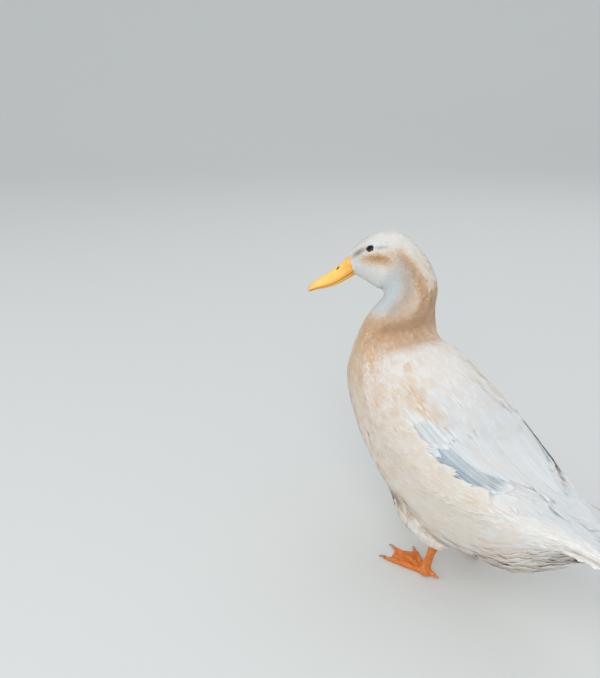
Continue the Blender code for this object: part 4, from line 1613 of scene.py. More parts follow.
@dataclass(frozen=True)
class Region:
    """One piece of the coat.

    Args:
        name: The piece's name.
        plume: How its feathers are cut.
        slot: Its material slot; not used.
        past: The station that it starts from.
        above: Degrees off the back that it starts from.
        below: Degrees off the back that it ends at.
        left_only: Whether it lies on the left side alone.
    """

    name: str
    plume: Plume
    slot: Slot
    past: float
    above: float = -1.0
    below: float = 180.0
    left_only: bool = False

    def takes(self, station: Array, off: Array, angle: Array) -> Array:
        """True for the roots of this region, by station, degrees off the back, and angle."""
        inside = (station > self.past) & (off > self.above) & (off <= self.below)
        return inside & (np.sin(angle) > 0) if self.left_only else inside


class Coat:
    """Lays the small feathers of head, neck and body in staggered rows that follow the form."""

    row_stations = (0.0, 2.0, 4.0, 7.0, 9.0, 10.5, 12.0, 13.5, 15.0)
    row_gaps = (0.0060, 0.0060, 0.0058, 0.0054, 0.0044, 0.0035, 0.0026, 0.00185, 0.00145)
    length_stations = (0.0, 2.0, 3.5, 5.0, 7.0, 8.5, 9.5, 10.5, 12.0, 13.0, 14.0, 15.0)
    lengths = (0.040, 0.036, 0.036, 0.034, 0.029, 0.024, 0.020, 0.016, 0.0110, 0.0085, 0.0058, 0.0036)
    widths = (0.0105, 0.0110, 0.0110, 0.0105, 0.0095, 0.0080, 0.0068, 0.0055, 0.0040, 0.0032, 0.0025, 0.0019)
    first_root = 14.93
    last_root = 0.6
    face_edge = 14.97
    steps = 6
    least_length = 0.0011
    root_depth = 1.15
    eye_room = (0.0052, 0.0040, 0.012)

    def __init__(self, surface: BodySurface, depth: CoatDepth, markings: Markings) -> None:
        """Keeps what the feathers lie on."""
        self.surface, self.depth, self.markings = surface, depth, markings
        self.rng = np.random.default_rng(2304)
        self.thigh_height = self.over_thighs()

    def over_thighs(self) -> Array:
        """How far the thighs stand out of the flesh, where the coat passes over them."""
        points, normals = self.surface.points, self.surface.normals
        step, steps = 0.0005, 24
        heights = np.zeros(points.shape[:2])
        for side in Side:
            thigh = Thigh(self.surface, side)
            inside = sum(thigh.holds(points + normals * step * k).astype(float) for k in range(steps))
            heights += step * inside
        return self.surface.softened(heights, 2, 9)[..., None]

    def roots(self) -> tuple[Array, Array]:
        """Staggered rows of roots from the face to the tail, spaced evenly round each station."""
        stations, angles = [], []
        station, row = self.first_root, 0
        columns = self.surface.columns
        grid_angles = np.arange(columns + 1) * TURN / columns
        while station > self.last_root:
            gap = float(np.interp(station, self.row_stations, self.row_gaps))
            girth = self.surface.girths(np.full(columns + 1, station), grid_angles)
            length = np.concatenate([[0.0], np.cumsum((girth[1:] + girth[:-1]) / 2) * TURN / columns])
            count = max(8, int(length[-1] / gap))
            marks = (np.arange(count) + 0.5 * (row % 2)) / count * length[-1]
            marks = marks + self.rng.normal(0.0, gap * 0.30, count)
            pace = self.surface.paces(np.full(1, station), np.full(1, math.pi / 2))[0]
            stations.append(station + self.rng.normal(0.0, 0.32 * gap / pace, count))
            angles.append(np.interp(marks % length[-1], length, grid_angles))
            station -= gap / pace
            row += 1
        return self.evened(np.concatenate(stations), np.concatenate(angles))

    def evened(self, station: Array, angle: Array) -> tuple[Array, Array]:
        """Evens out the roots: more of them where the rows fan out, fewer where they crowd.

        Args:
            station: The stations of the roots.
            angle: Their angles.

        Returns:
            The stations and angles of the roots that stay or are added.
        """
        gap = np.interp(station, self.row_stations, self.row_gaps)
        pace = self.surface.paces(station, angle)
        crowding = self.surface.paces(station, np.full(len(station), math.pi / 2)) / pace
        keep = self.rng.random(len(station)) < 1.15 / crowding
        added_station, added_angle = [station[keep]], [angle[keep]]
        for step in (1.0, 2.0, 3.0):
            more = self.rng.random(len(station)) < 1 / crowding - step
            count = int(more.sum())
            added_station.append(station[more] + (gap / pace * self.rng.uniform(-0.5, 0.5, len(gap)))[more])
            added_angle.append(angle[more] + self.rng.normal(0.0, 0.02, count))
        return np.clip(np.concatenate(added_station), 0.0, self.face_edge), np.concatenate(added_angle) % TURN

    def heading(self, station: Array, off: Array) -> tuple[Array, Array]:
        """The lie of the feathers.

        Args:
            station: The stations of their roots.
            off: Degrees off the middle of the back.

        Returns:
            Their direction off the way to the tail, and how much it turns up to their tips, in radians.
        """
        flank = between(station, 3.4, 6.6, 1.2) * between(off, 58, 118, 30)
        crease = np.interp(station, (1.9, 2.9, 3.5, 3.9), (4, 22, 40, 52))
        fluff = between(station, 2.5, 3.9, 0.6) * between(off - crease, -4, 60, 24)
        heading = -15 * flank + 16 * fluff * smooth((70 - (off - crease)) / 60)
        curl = -6 * flank - 8 * fluff
        return np.radians(heading), np.radians(curl)

    def window(self, station: Array, off: Array) -> Array:
        """True where the folded wing shows, so that no body feather is rooted there."""
        marks = (1.95, 2.9, 3.5, 3.8, 4.5, 5.4, 5.8, 7.4)
        bottom = np.interp(station, marks, (4, 24, 44, 58, 66, 64, 58, 40))
        return (station > 2.5) & (station < 7.3) & (off < bottom) & (off > 7)

    def laid(self) -> tuple[Laid, Array, Array]:
        """Lays every feather of the coat.

        Returns:
            The feathers, and the stations and angles of their roots.
        """
        station, angle = self.roots()
        keep = ~self.window(station, degrees_off_back(angle))
        station, angle = station[keep], angle[keep]
        off, count = degrees_off_back(angle), len(station)
        length, width = self.sizes(station, off)
        heading, curl = self.heading(station, off)
        heading = heading + self.rng.normal(0.0, 0.11, count)
        curl = curl + self.rng.normal(0.0, 0.12, count)
        length = length * self.room_at_eyes(station, angle, heading, curl, length)
        stations, angles = self.surface.walk(station, angle, heading, curl, length, self.steps)
        stations = np.clip(stations, 0.0, LAST_STATION)
        lift = self.lift(station, off)
        over = self.surface.covered(stations, angles)
        over = over * 1.04 + 0.0010 * smooth(over / 0.004)
        thighs = self.surface.sample(self.thigh_height, stations, angles)[..., 0]
        points, normals = self.surface.spot(stations, angles, lift + over + thighs)
        points = self.surface.drawn_in(points, stations)
        pigments = self.markings.at(stations[:, 4], angles[:, 4]).stacked()
        pigments[:, 0] += self.rng.normal(0.0, 0.04, count)
        keep = length > self.least_length
        laid = Laid(points, normals, width, pigments, unwrap_of(station, angle))
        return laid.kept(keep), station[keep], angle[keep]

    @staticmethod
    def vent(station: Array, off: Array) -> Array:
        """1 round the vent, and less ahead of it and above it."""
        return smooth((3.8 - station) / 1.2) * smooth((off - 60) / 40)

    def sizes(self, station: Array, off: Array) -> tuple[Array, Array]:
        """Draws the sizes of the feathers.

        Args:
            station: The stations of their roots.
            off: Degrees off the middle of the back.

        Returns:
            Their lengths and widths.
        """
        rng, count = self.rng, len(station)
        length = np.interp(station, self.length_stations, self.lengths) * rng.normal(1.0, 0.10, count)
        width = np.interp(station, self.length_stations, self.widths) * rng.normal(1.0, 0.08, count)
        flank = between(station, 3.0, 6.4, 1.0) * between(off, 50, 115, 20)
        length = length * (1 + 0.15 * flank + 0.25 * self.vent(station, off))
        return length * (1 - 0.45 * rng.random(count) * smooth((2.4 - station) / 1.2)), width

    def lift(self, station: Array, off: Array) -> Array:
        """Draws how high the feathers lie, from their sunk roots to their tips.

        Args:
            station: The stations of their roots.
            off: Degrees off the middle of the back.

        Returns:
            The heights along each feather.
        """
        depth = self.depth.at(station)[:, None]
        stand = (0.0001 + 0.10 * depth) * self.rng.random((len(station), 1))
        loose = smooth((5.4 - station) / 1.0) * smooth((off - 104) / 30)
        loose = 0.0010 * self.vent(station, off) + 0.0013 * loose
        stand = stand + (loose * self.rng.random(len(station)))[:, None]
        sunk = depth * self.root_depth
        share = np.linspace(0.0, 1.0, self.steps + 1)[None]
        return -sunk + (sunk + stand) * risen(share, 0.4)

    def room_at_eyes(self, station: Array, angle: Array, heading: Array, curl: Array, length: Array) -> Array:
        """Works out how short a feather has to be so that its tip stays off the eyes.

        Args:
            station: The stations of the roots.
            angle: Their angles.
            heading: The directions of the feathers.
            curl: How much these turn.
            length: The feathers' lengths.

        Returns:
            The share of its length that each feather keeps, 0 for one rooted at an eye.
        """
        paths = self.surface.walk(station, angle, heading, curl, length, self.steps)
        points = self.surface.spot(*paths)[0]
        room = np.ones(len(station))
        wide, high, deep = self.eye_room
        for side in Side:
            local = set_out(np.array(Eye(self.surface, side).axes().inverted()), points)
            inside = np.hypot(local[..., 0] / wide, local[..., 1] / high) < 1
            inside &= np.abs(local[..., 2]) < deep
            first = np.where(inside.any(1), inside.argmax(1), self.steps + 0.5)
            room = np.minimum(room, np.clip((first - 0.3) / self.steps, 0.0, 1.0))
        return room

    def build(self, finishes: Finishes) -> None:
        """Cuts the laid feathers into strands, region by region."""
        laid, station, angle = self.laid()
        off = degrees_off_back(angle)
        taken = np.zeros(len(laid), bool)
        for region in self.regions():
            mine = region.takes(station, off, angle) & ~taken
            taken |= mine
            shell = stranded(laid.kept(mine), region.plume, self.rng)
            placed(as_object(region.name, shell, finishes.coat))

    @staticmethod
    def regions() -> list[Region]:
        """The pieces of the coat, each of under 200,000 triangles.

        Returns:
            The pieces; a feather goes to the first one that takes it.
        """
        face = Plume(strands=5, rings=2, thickness=0.00008, fray=0.25, overlap=2.3)
        neck = Plume(strands=7, rings=2, thickness=0.00010, fray=0.28, overlap=2.2)
        body = Plume(strands=9, rings=3, thickness=0.00014, fray=0.30, overlap=2.1)
        fluff = Plume(strands=9, rings=3, thickness=0.00016, fray=0.40, round_tip=0.25, overlap=1.9)
        return [
            Region("coat_head", face, Slot.WHITE, 12.3),
            Region("coat_neck", neck, Slot.BUFF, 9.4),
            Region("coat_breast_left", body, Slot.BODY, 6.6, above=62, left_only=True),
            Region("coat_breast_right", body, Slot.BODY, 6.6, above=62),
            Region("coat_mantle", body, Slot.BODY, 5.0, below=62),
            Region("coat_belly_left", fluff, Slot.BODY, 2.9, above=125, left_only=True),
            Region("coat_belly_right", fluff, Slot.BODY, 2.9, above=125),
            Region("coat_flank_left", body, Slot.BODY, 2.9, left_only=True),
            Region("coat_flank_right", body, Slot.BODY, 2.9),
            Region("coat_rump", fluff, Slot.BODY, -1.0),
        ]


class ThighCoat:
    """The short, soft feathers of one thigh."""

    rows = 33
    row_step = 0.15
    top_level = 4.9
    gap = 0.0055
    width = 0.0088
    reach_inside = 0.006
    pigments = (0.24, 0.0, 0.0, 0.2)
    plume = Plume(strands=6, rings=3, thickness=0.00016, fray=0.35, overlap=2.2)

    def __init__(self, surface: BodySurface, side: Side) -> None:
        """Keeps the thigh that the feathers lie on."""
        self.surface, self.side = surface, side
        self.thigh = Thigh(surface, side)
        self.rng = np.random.default_rng(77 + side.value)

    def roots(self) -> tuple[Array, Array]:
        """Staggered rows of roots from the top down to the hock, without those deep in the body.

        Returns:
            Their levels and angles.
        """
        levels, angles = [], []
        for row in range(self.rows):
            level = self.top_level - row * self.row_step
            girth = TURN * 0.03 * min(1.0, 0.35 + level / 4)
            count = max(9, int(girth / self.gap))
            levels.append(np.full(count, level) + self.rng.normal(0, 0.05, count))
            around = (np.arange(count) + 0.5 * (row % 2)) / count * TURN
            angles.append(around + self.rng.normal(0, 0.05, count))
        level, angle = np.concatenate(levels), np.concatenate(angles)
        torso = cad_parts["torso"].data
        corners_of = [tuple(face.vertices) for face in torso.polygons]
        tree = BVHTree.FromPolygons([corner.co.copy() for corner in torso.vertices], corners_of)
        outside = []
        for root in self.thigh.spot(level, angle)[0]:
            near, normal, _, _ = tree.find_nearest(Vector(root))
            outside.append((Vector(root) - near).dot(normal) > -self.reach_inside)
        return level[outside], angle[outside]

    def build(self, finishes: Finishes) -> Piece:
        """Lays and cuts the feathers, each pointing down.

        Args:
            finishes: The materials.

        Returns:
            The piece.
        """
        level, angle = self.roots()
        share = np.linspace(0.0, 1.0, 6)[None]
        length = (0.9 + 0.35 * self.rng.random(len(level)))[:, None] * (0.5 + level[:, None] / 8)
        down = np.maximum(level[:, None] - length * share, 0.02)
        rise = risen(share, 0.8)
        lift = -0.0026 + (0.0029 + 0.0007 * self.rng.random((len(level), 1))) * rise
        points, normals = self.thigh.spot(down, np.broadcast_to(angle[:, None], down.shape), lift)
        points = points + np.array([0.0, 0.004, -0.001]) * (share[..., None] ** 2)
        pigments = np.tile(self.pigments, (len(level), 1))
        pigments[:, 0] += self.rng.normal(0.0, 0.04, len(level))
        unwrap = np.stack([angle / TURN % 1.0, level / 50], -1)
        laid = Laid(points, normals, np.full(len(level), self.width), pigments, unwrap)
        shell = stranded(laid, self.plume, self.rng)
        return placed(as_object(f"coat_thigh_{self.side.word}", shell, finishes.coat))


# Wings


@dataclass(frozen=True)
class Tier:
    """One tier of a folded wing's feathers, each from a root to a tip, from the lowest to the uppermost.

    Args:
        count: How many feathers.
        root_along: Shares of the wing's length at the first and last root.
        root_across: Shares of its depth at the first and last root.
        tip_along: The same at the tips.
        tip_across: The same at the tips.
        width: Width of a feather.
        level: Height in the wing's stack, as a share of its thickness.
        offset: Height over that.
        pigments: Buff, slate, dark and fringe.
        cut: How the feathers are cut.
        scatter: How uneven their places are.
    """

    count: int
    root_along: tuple[float, float]
    root_across: tuple[float, float]
    tip_along: tuple[float, float]
    tip_across: tuple[float, float]
    width: float
    level: float
    offset: tuple[float, float]
    pigments: tuple[float, float, float, float]
    cut: Plume | Blade
    scatter: float = 0.008


SILKY = Plume(strands=15, rings=5, thickness=0.00018, camber=0.03, round_tip=0.30, fray=0.30, overlap=2.2)
SOFT = Plume(strands=11, rings=3, thickness=0.00022, fray=0.12, overlap=2.1)
LONG = Plume(strands=21, rings=8, thickness=0.00018, camber=0.03, round_tip=0.36, fray=0.14, overlap=2.3)
FLIGHT_TIERS = (
    Tier(8, (0.50, 0.50), (0.66, 0.26), (0.84, 1.02), (0.74, 0.16), 0.016, 0.78, (0.0, 0.0006),
         (0.03, 0.20, 0.0, 0.5), Blade(point=0.5, leading=0.45)),
    Tier(13, (0.40, 0.42), (0.78, 0.22), (0.64, 0.80), (0.80, 0.34), 0.017, 0.92, (0.0, 0.0008),
         (0.02, 0.86, 0.0, 0.9), Blade(point=0.22, leading=0.6)),
)
# The tertials' slate is partly a grey-blue tint and partly painted shade.
TERTIALS = Tier(9, (0.44, 0.38), (0.32, -0.14), (0.76, 1.00), (0.27, 0.02), 0.018, 0.97, (0.0006, 0.0022),
                (0.03, 0.26, 0.0, 0.25), LONG, 0.014)
GREATER_COVERTS = Tier(12, (0.34, 0.34), (0.80, 0.20), (0.50, 0.53), (0.82, 0.24), 0.016, 0.92,
                       (0.0004, 0.0008), (0.10, 0.34, 0.0, 0.7), Blade(point=0.30, leading=0.75, rings=10))
SMALL_COVERT_TIERS = (
    Tier(16, (0.24, 0.24), (0.78, 0.10), (0.42, 0.43), (0.80, 0.14), 0.016, 0.95, (0.0004, 0.0012),
         (0.20, 0.06, 0.0, 0.7), SOFT),
    Tier(16, (0.14, 0.14), (0.74, 0.10), (0.33, 0.33), (0.76, 0.12), 0.016, 0.98, (0.0003, 0.0014),
         (0.24, 0.0, 0.0, 0.5), SOFT),
    Tier(16, (0.06, 0.06), (0.66, 0.10), (0.22, 0.22), (0.68, 0.12), 0.016, 1.0, (0.0002, 0.0014),
         (0.28, 0.0, 0.0, 0.4), SOFT),
)


class Wing:
    """One folded wing: its flight feathers, coverts and scapulars."""

    steps = 8
    scapular_rows = 15
    scapular_front = 8.15
    scapular_row_step = 0.222
    scapular_gap = 0.0066
    scapular_sink = 0.0030

    def __init__(self, surface: BodySurface, bed: WingBed, markings: Markings, side: Side) -> None:
        """Keeps what the wing lies on."""
        self.surface, self.bed, self.markings, self.side = surface, bed, markings, side
        self.rng = np.random.default_rng(510 + side.value)

    def lay(self, tier: Tier) -> Laid:
        """Lays one tier of feathers.

        Args:
            tier: The tier.

        Returns:
            The feathers, from the flank's side to the back's side.
        """
        count = tier.count
        order = np.linspace(0.0, 1.0, count)
        jitter = self.rng.normal(0.0, tier.scatter, (4, count)) * np.array([1, 1, 1, 0.5])[:, None]
        ends = (tier.root_along, tier.root_across, tier.tip_along, tier.tip_across)
        root_along, root_across, tip_along, tip_across = (
            (np.interp(order, (0, 1), end) + moved)[:, None] for end, moved in zip(ends, jitter)
        )
        share = np.linspace(0.0, 1.0, self.steps + 1)[None]
        along = root_along + (tip_along - root_along) * share
        across = root_across + (tip_across - root_across) * share
        station, angle = self.bed.spot(along, across, self.side.value)
        height = self.surface.covered(station, angle) * tier.level
        offset = np.interp(order, (0, 1), tier.offset)[:, None]
        lift = height + offset - 0.0012 * (1 - share) ** 2
        points, normals = self.surface.spot(station, angle, lift)
        pigments = np.tile(tier.pigments, (count, 1))
        pigments[:, 0] += self.rng.normal(0.0, 0.05, count)
        pigments[:, 1] *= self.rng.uniform(0.5, 1.1, count)
        width = tier.width * self.rng.normal(1.0, 0.05, count)
        return Laid(points, normals, width, pigments, unwrap_of(station[:, 0], angle[:, 0]))

    def cut(self, tier: Tier) -> Shell:
        """Lays and cuts one tier."""
        cutter = bladed if isinstance(tier.cut, Blade) else stranded
        return cutter(self.lay(tier), tier.cut, self.rng)

    def build(self, finishes: Finishes) -> None:
        """Makes the wing's pieces."""
        word = self.side.word
        pieces = (
            ("flight", FLIGHT_TIERS, finishes.flight, (f"wing_{word}",)),
            ("tertials", (TERTIALS,), finishes.coat, ()),
            ("greater_coverts", (GREATER_COVERTS,), finishes.flight, ()),
            ("small_coverts", SMALL_COVERT_TIERS, finishes.coat, ()),
        )
        for name, tiers, finish, replaced in pieces:
            shell = merged([self.cut(tier) for tier in tiers])
            placed(as_object(f"wing_{word}_{name}", shell, finish), replaced)
        placed(as_object(f"scapulars_{word}", self.scapulars(), finishes.coat))

    def scapulars(self) -> Shell:
        """Lays and cuts the long silky feathers of the shoulder, whose ragged edge lies over the wing.

        Returns:
            The feathers as one mesh.
        """
        rng, stations, degrees = self.rng, [], []
        for row in range(self.scapular_rows):
            station = self.scapular_front - row * self.scapular_row_step
            low = np.interp(station, (4.8, 5.5, 6.0, 6.7, 7.6, 8.2), (16, 40, 46, 52, 54, 50))
            radius = self.surface.girths(np.full(1, station), np.full(1, 0.5))[0]
            count = max(3, int(math.radians(low) * radius / self.scapular_gap))
            stations.append(station + rng.normal(0.0, 0.07, count))
            off = low * (np.arange(count) + 0.1 + 0.5 * (row % 2)) / count
            degrees.append(off + rng.normal(0, 1.2, count))
        station, degree = np.concatenate(stations), np.concatenate(degrees)
        count = len(station)
        angle = np.radians(np.maximum(degree, 0.1)) * self.side.value
        length = np.interp(station, (4.8, 6.0, 7.2, 8.2), (0.062, 0.056, 0.040, 0.026))
        length = length * rng.normal(1, 0.09, count)
        heading = np.radians(np.interp(degree, (0, 20, 55), (-2, 0, -5))) + rng.normal(0, 0.05, count)
        paths = self.surface.walk(station, angle, heading, rng.normal(0, 0.06, count), length, self.steps)
        share = np.linspace(0.0, 1.0, self.steps + 1)[None]
        stand = 0.0010 + 0.0008 * rng.random((count, 1))
        sink = self.scapular_sink
        lift = self.surface.covered(*paths) - sink + (sink + stand) * risen(share, 0.45)
        points, normals = self.surface.spot(*paths, lift)
        pigments = self.markings.at(paths[0][:, -2], paths[1][:, -2]).stacked()
        pigments[:, 0] += rng.normal(0.0, 0.05, count)
        width = np.interp(station, (4.8, 7.2, 8.2), (0.0150, 0.0120, 0.0100)) * rng.normal(1, 0.06, count)
        return stranded(Laid(points, normals, width, pigments, unwrap_of(station, angle)), SILKY, rng)


# Tail


@dataclass
class Tail:
    """The fan of tail feathers, broad, a little raised and with pointed tips."""

    surface: BodySurface
    feathers: int = 18

    def build(self, finishes: Finishes) -> Piece:
        """Lays the fan, the middle feathers uppermost.

        Args:
            finishes: The materials.

        Returns:
            The fan, which replaces the tail's node.
        """
        rng = np.random.default_rng(91)
        axes = np.array(self.surface.frame(TAIL_PIVOT))
        order = np.linspace(-1.0, 1.0, self.feathers)
        turn = TAIL_SPREAD * order + rng.normal(0.0, 0.012, self.feathers)
        length = TAIL_LENGTH * (1 - 0.17 * np.abs(order) ** 1.6) * rng.normal(1.0, 0.012, self.feathers)
        share = np.linspace(0.0, 1.0, 9)[None]
        reach = TAIL_START + (length[:, None] - TAIL_START) * share
        lift = fan_height(np.abs(order)[:, None], share)
        lift = lift + 0.0006 * (np.arange(self.feathers) % 2)[:, None]
        local = np.stack([np.sin(turn)[:, None] * reach, np.cos(turn)[:, None] * reach, lift], -1)
        points = set_out(axes, local)
        normals = np.broadcast_to(axes[:3, 2], points.shape)
        pigments = np.tile([0.08, 0.10, 0.0, 0.5], (self.feathers, 1))
        unwrap = np.stack([0.5 + order * 0.2, np.full(self.feathers, 0.02)], -1)
        laid = Laid(points, normals, np.full(self.feathers, 0.0185), pigments, unwrap)
        shell = bladed(laid, Blade(point=0.55, leading=0.85, rings=16, camber=0.03), rng)
        return placed(as_object("tail_fan", shell, finishes.flight), ("tail",))


# Head


@dataclass
class Bill:
    """The bill: a long, dished upper half with a nail and nostrils, and the shallow lower half."""

    surface: BodySurface
    length: float = 0.068
    droop: float = math.radians(19.0)
    base_width: float = 0.0225
    tip_width: float = 0.0255
    depth: float = 0.0205
    gap: float = 0.0003
    nostril_share: float = 0.30

    def width(self, share: Array) -> Array:
        """Half the bill's width, widest near the tip and rounded off there."""
        widening = np.sin(np.minimum(share / 0.8, 1.0) * np.pi / 2) ** 2
        spread = self.base_width + (self.tip_width - self.base_width) * widening
        waist = 1 - 0.07 * np.sin(np.pi * np.minimum(share / 0.6, 1.0))
        end = np.sqrt(np.maximum(0.0, 1 - np.maximum(0.0, (share - 0.78) / 0.22) ** 2))
        return np.maximum(spread / 2 * waist * end, 0.0004)

    def top(self, share: Array) -> Array:
        """Height of the culmen over the mouth's line: high at the face, dished, then low to the nail."""
        dish = 0.07 * np.sin(np.pi * np.minimum(share * 1.3, 1.0))
        height = self.depth * (0.22 + 0.78 * (1 - share) ** 0.95 + dish)
        return height * np.where(share > 0.9, 1 - 6.5 * (share - 0.9), 1.0)

    def mouth(self, share: Array) -> Array:
        """Height of the mouth's line against the bill's axis."""
        sag = 0.0040 * np.sin(np.pi * np.minimum(share * 1.25, 1.0))
        return -0.0105 + 0.0036 * share - sag - share * self.length * math.tan(self.droop)

    def kept_at(self, kept: Values, x: Array, share: Array, z: Array, **values: Array) -> Array:
        """Keeps points of the bill together with the values that colour them.

        Args:
            kept: What the finished mesh reads.
            x: How far the points lie off the middle.
            share: How far along the bill they lie.
            z: Their heights.
            values: The values there.

        Returns:
            The points in the bird's place.
        """
        axes = np.array(self.surface.frame(LAST_STATION))
        kept.update(values, places=set_out(axes, np.stack([x, -share * self.length, z], -1)))
        return kept["places"]

    def upper(self, finishes: Finishes) -> Piece:
        """Makes the upper half, with its nail, its nostrils and a turned-down edge.

        Args:
            finishes: The materials.

        Returns:
            The upper half.
        """
        kept: Values = {}

        def shape(u: Array, v: Array) -> Array:
            """Points of the upper half."""
            share = 0.995 * (1 - (1 - v) ** 1.15) - 0.06 * (1 - v) ** 6
            side, rise = np.sin(u * TURN), np.cos(u * TURN)
            inner = np.clip(share, 0.0, 1.0)
            half, top, floor = self.width(inner), self.top(inner), self.mouth(inner)
            ridge = np.where(rise > 0, np.abs(rise) ** 0.85 * top, -0.0009 * np.abs(rise))
            x = half * side * (1 - 0.05 * (rise > 0) * np.sin(np.pi * np.abs(side)) * (1 - inner))
            z = floor + ridge
            nail = np.exp(-(((inner - 0.945) / 0.045) ** 2) - (x / 0.0042) ** 2)
            groove = np.exp(-(((inner - 0.88) / 0.012) ** 2) - (x / 0.0055) ** 2)
            z = z + (0.0009 * nail - 0.0003 * groove) * (rise > 0)
            slot_y = (inner - self.nostril_share) * self.length / 0.0032
            slot_z = (z - floor - top * 0.85) / 0.0016
            off = np.hypot(slot_y, slot_z)
            pit = smooth(1.6 - off * 1.1) * (np.abs(side) > 0.25) * (rise > 0)
            x = x - np.sign(side) * 0.0022 * pit
            rim = np.exp(-((off - 1.35) ** 2) / 0.05) * (rise > 0) * (np.abs(side) > 0.25)
            x = x + np.sign(side) * 0.0004 * rim
            return self.kept_at(
                kept, x, share, z,
                along=inner + 0.75 * (1 - inner) * rim,
                edge=np.exp(-((rise / 0.18) ** 2)) * 0.6,
                pit=pit * smooth(1.2 - off),
            )

        return self.finished(loft("bill_upper_horn", 96, 72, shape), kept, finishes)

    def lower(self, finishes: Finishes) -> Piece:
        """Makes the lower half, a trough that closes inside the upper one's edge.

        Args:
            finishes: The materials.

        Returns:
            The lower half.
        """
        kept: Values = {}

        def shape(u: Array, v: Array) -> Array:
            """Points of the lower half."""
            share = 0.955 * v - 0.05 * (1 - v) ** 6
            inner = np.clip(share, 0.0, 1.0)
            side, rise = np.sin(u * TURN), np.cos(u * TURN)
            half = self.width(inner) * 0.86
            roof = self.mouth(inner) - 0.0009 - self.gap
            depth = 0.0048 * (1 - inner) ** 0.7 + 0.0012
            z = roof + np.where(rise < 0, -depth * np.abs(rise) ** 0.9, 0.0004 * rise)
            return self.kept_at(
                kept, half * side, share, z, along=inner, edge=np.full_like(u, 0.35), pit=np.zeros_like(u)
            )

        return self.finished(loft("bill_lower_horn", 60, 48, shape), kept, finishes)

    @staticmethod
    def finished(body: Piece, kept: Values, finishes: Finishes) -> Piece:
        """Colours one half of the bill and puts it in its node's place.

        Args:
            body: The half.
            kept: The values at the points that it was wrapped from.
            finishes: The materials.

        Returns:
            The half.
        """
        found = nearest(kept["places"], vertex_places(body))
        for name in ("along", "edge", "pit"):
            give_value(body, name, kept[name][found])
        return placed(dressed(body, finishes.bill), (body.name.removesuffix("_horn"),))


@dataclass
class Eye:
    """One eye with its lids."""

    surface: BodySurface
    side: Side
    opening: tuple[float, float] = (0.0041, 0.0027)
    lid_reach: float = 0.0008
    sink: float = 0.0049

    def axes(self) -> Matrix:
        """The eye's own axes: Z out of the head, X towards the bill."""
        station, angle = np.array([EYE_STATION]), np.array([EYE_ANGLE * self.side.value])
        point, normal = self.surface.spot(station, angle)
        ahead = Vector(self.surface.spot(station + 0.3, angle)[0][0] - point[0])
        out = Vector(normal[0])
        forward = (ahead - out * ahead.dot(out)).normalized()
        turned = Matrix((forward, out.cross(forward), out)).transposed().to_4x4()
        return Matrix.Translation(Vector(point[0]) - out * self.sink) @ turned

    def build(self, finishes: Finishes) -> None:
        """Makes the eyeball and the lids."""
        self.ball(finishes)
        self.lids(finishes)

    def ball(self, finishes: Finishes) -> Piece:
        """Makes the eyeball, with a bulging front.

        Args:
            finishes: The materials.

        Returns:
            The eyeball.
        """
        bpy.ops.object.select_all(action="DESELECT")
        bpy.ops.mesh.primitive_uv_sphere_add(segments=48, ring_count=32, radius=EYE_RADIUS)
        ball = bpy.context.object
        ball.name = ball.data.name = f"eyeball_{self.side.word}"
        places = vertex_places(ball)
        polar = np.arccos(np.clip(places[:, 2] / EYE_RADIUS, -1, 1)) / (math.pi / 2)
        bulge = 1 + 0.05 * np.exp(-((polar / 0.45) ** 2))
        move_points(ball, places * bulge[:, None])
        give_value(ball, "polar", np.clip(polar, 0, 1))
        bpy.ops.object.shade_smooth()
        ball.matrix_world = self.axes()
        bpy.ops.object.transform_apply(location=True, rotation=True, scale=True)
        return placed(dressed(ball, finishes.eye), (f"eye_{self.side.word}",))

    def lids(self, finishes: Finishes) -> Piece:
        """Makes the ring of both lids, drawn out to a corner at each end of the eye.

        Args:
            finishes: The materials.

        Returns:
            The lids.
        """
        axes = np.array(self.axes())
        wide, high = self.opening

        def rim(u: Array, v: Array) -> Array:
            """Points of the lids, by how far round the eye and round the lid's own section they lie."""
            around, section = u * TURN, v * TURN
            corner = 1 + 0.04 * np.abs(np.cos(around)) ** 8 + 0.07 * np.maximum(np.cos(around), 0.0) ** 6
            low = np.where(np.sin(around) > 0, 0.92, 1.0)
            reach = self.lid_reach * (0.5 - 0.5 * np.cos(section))
            x = (wide * corner + reach) * np.cos(around)
            y = (high * low + 1.5 * reach) * np.sin(around)
            radius = np.hypot(x, y)
            ball_height = np.sqrt(np.maximum(EYE_RADIUS**2 - np.minimum(radius, EYE_RADIUS * 0.98) ** 2, 0.0))
            outer = smooth((radius - EYE_RADIUS * 0.62) / 0.0022)
            base = ball_height * (1 - outer) + (self.sink - 0.0003) * outer
            z = base + 0.00055 * np.sin(section) + 0.00015
            return set_out(axes, np.stack([x, y, z], -1))

        return placed(dressed(loft(f"lids_{self.side.word}", 14, 64, rim), finishes.lid))


# Legs


TOES = ((math.radians(-23.0), 0.050), (math.radians(2.0), 0.066), (math.radians(26.0), 0.061))


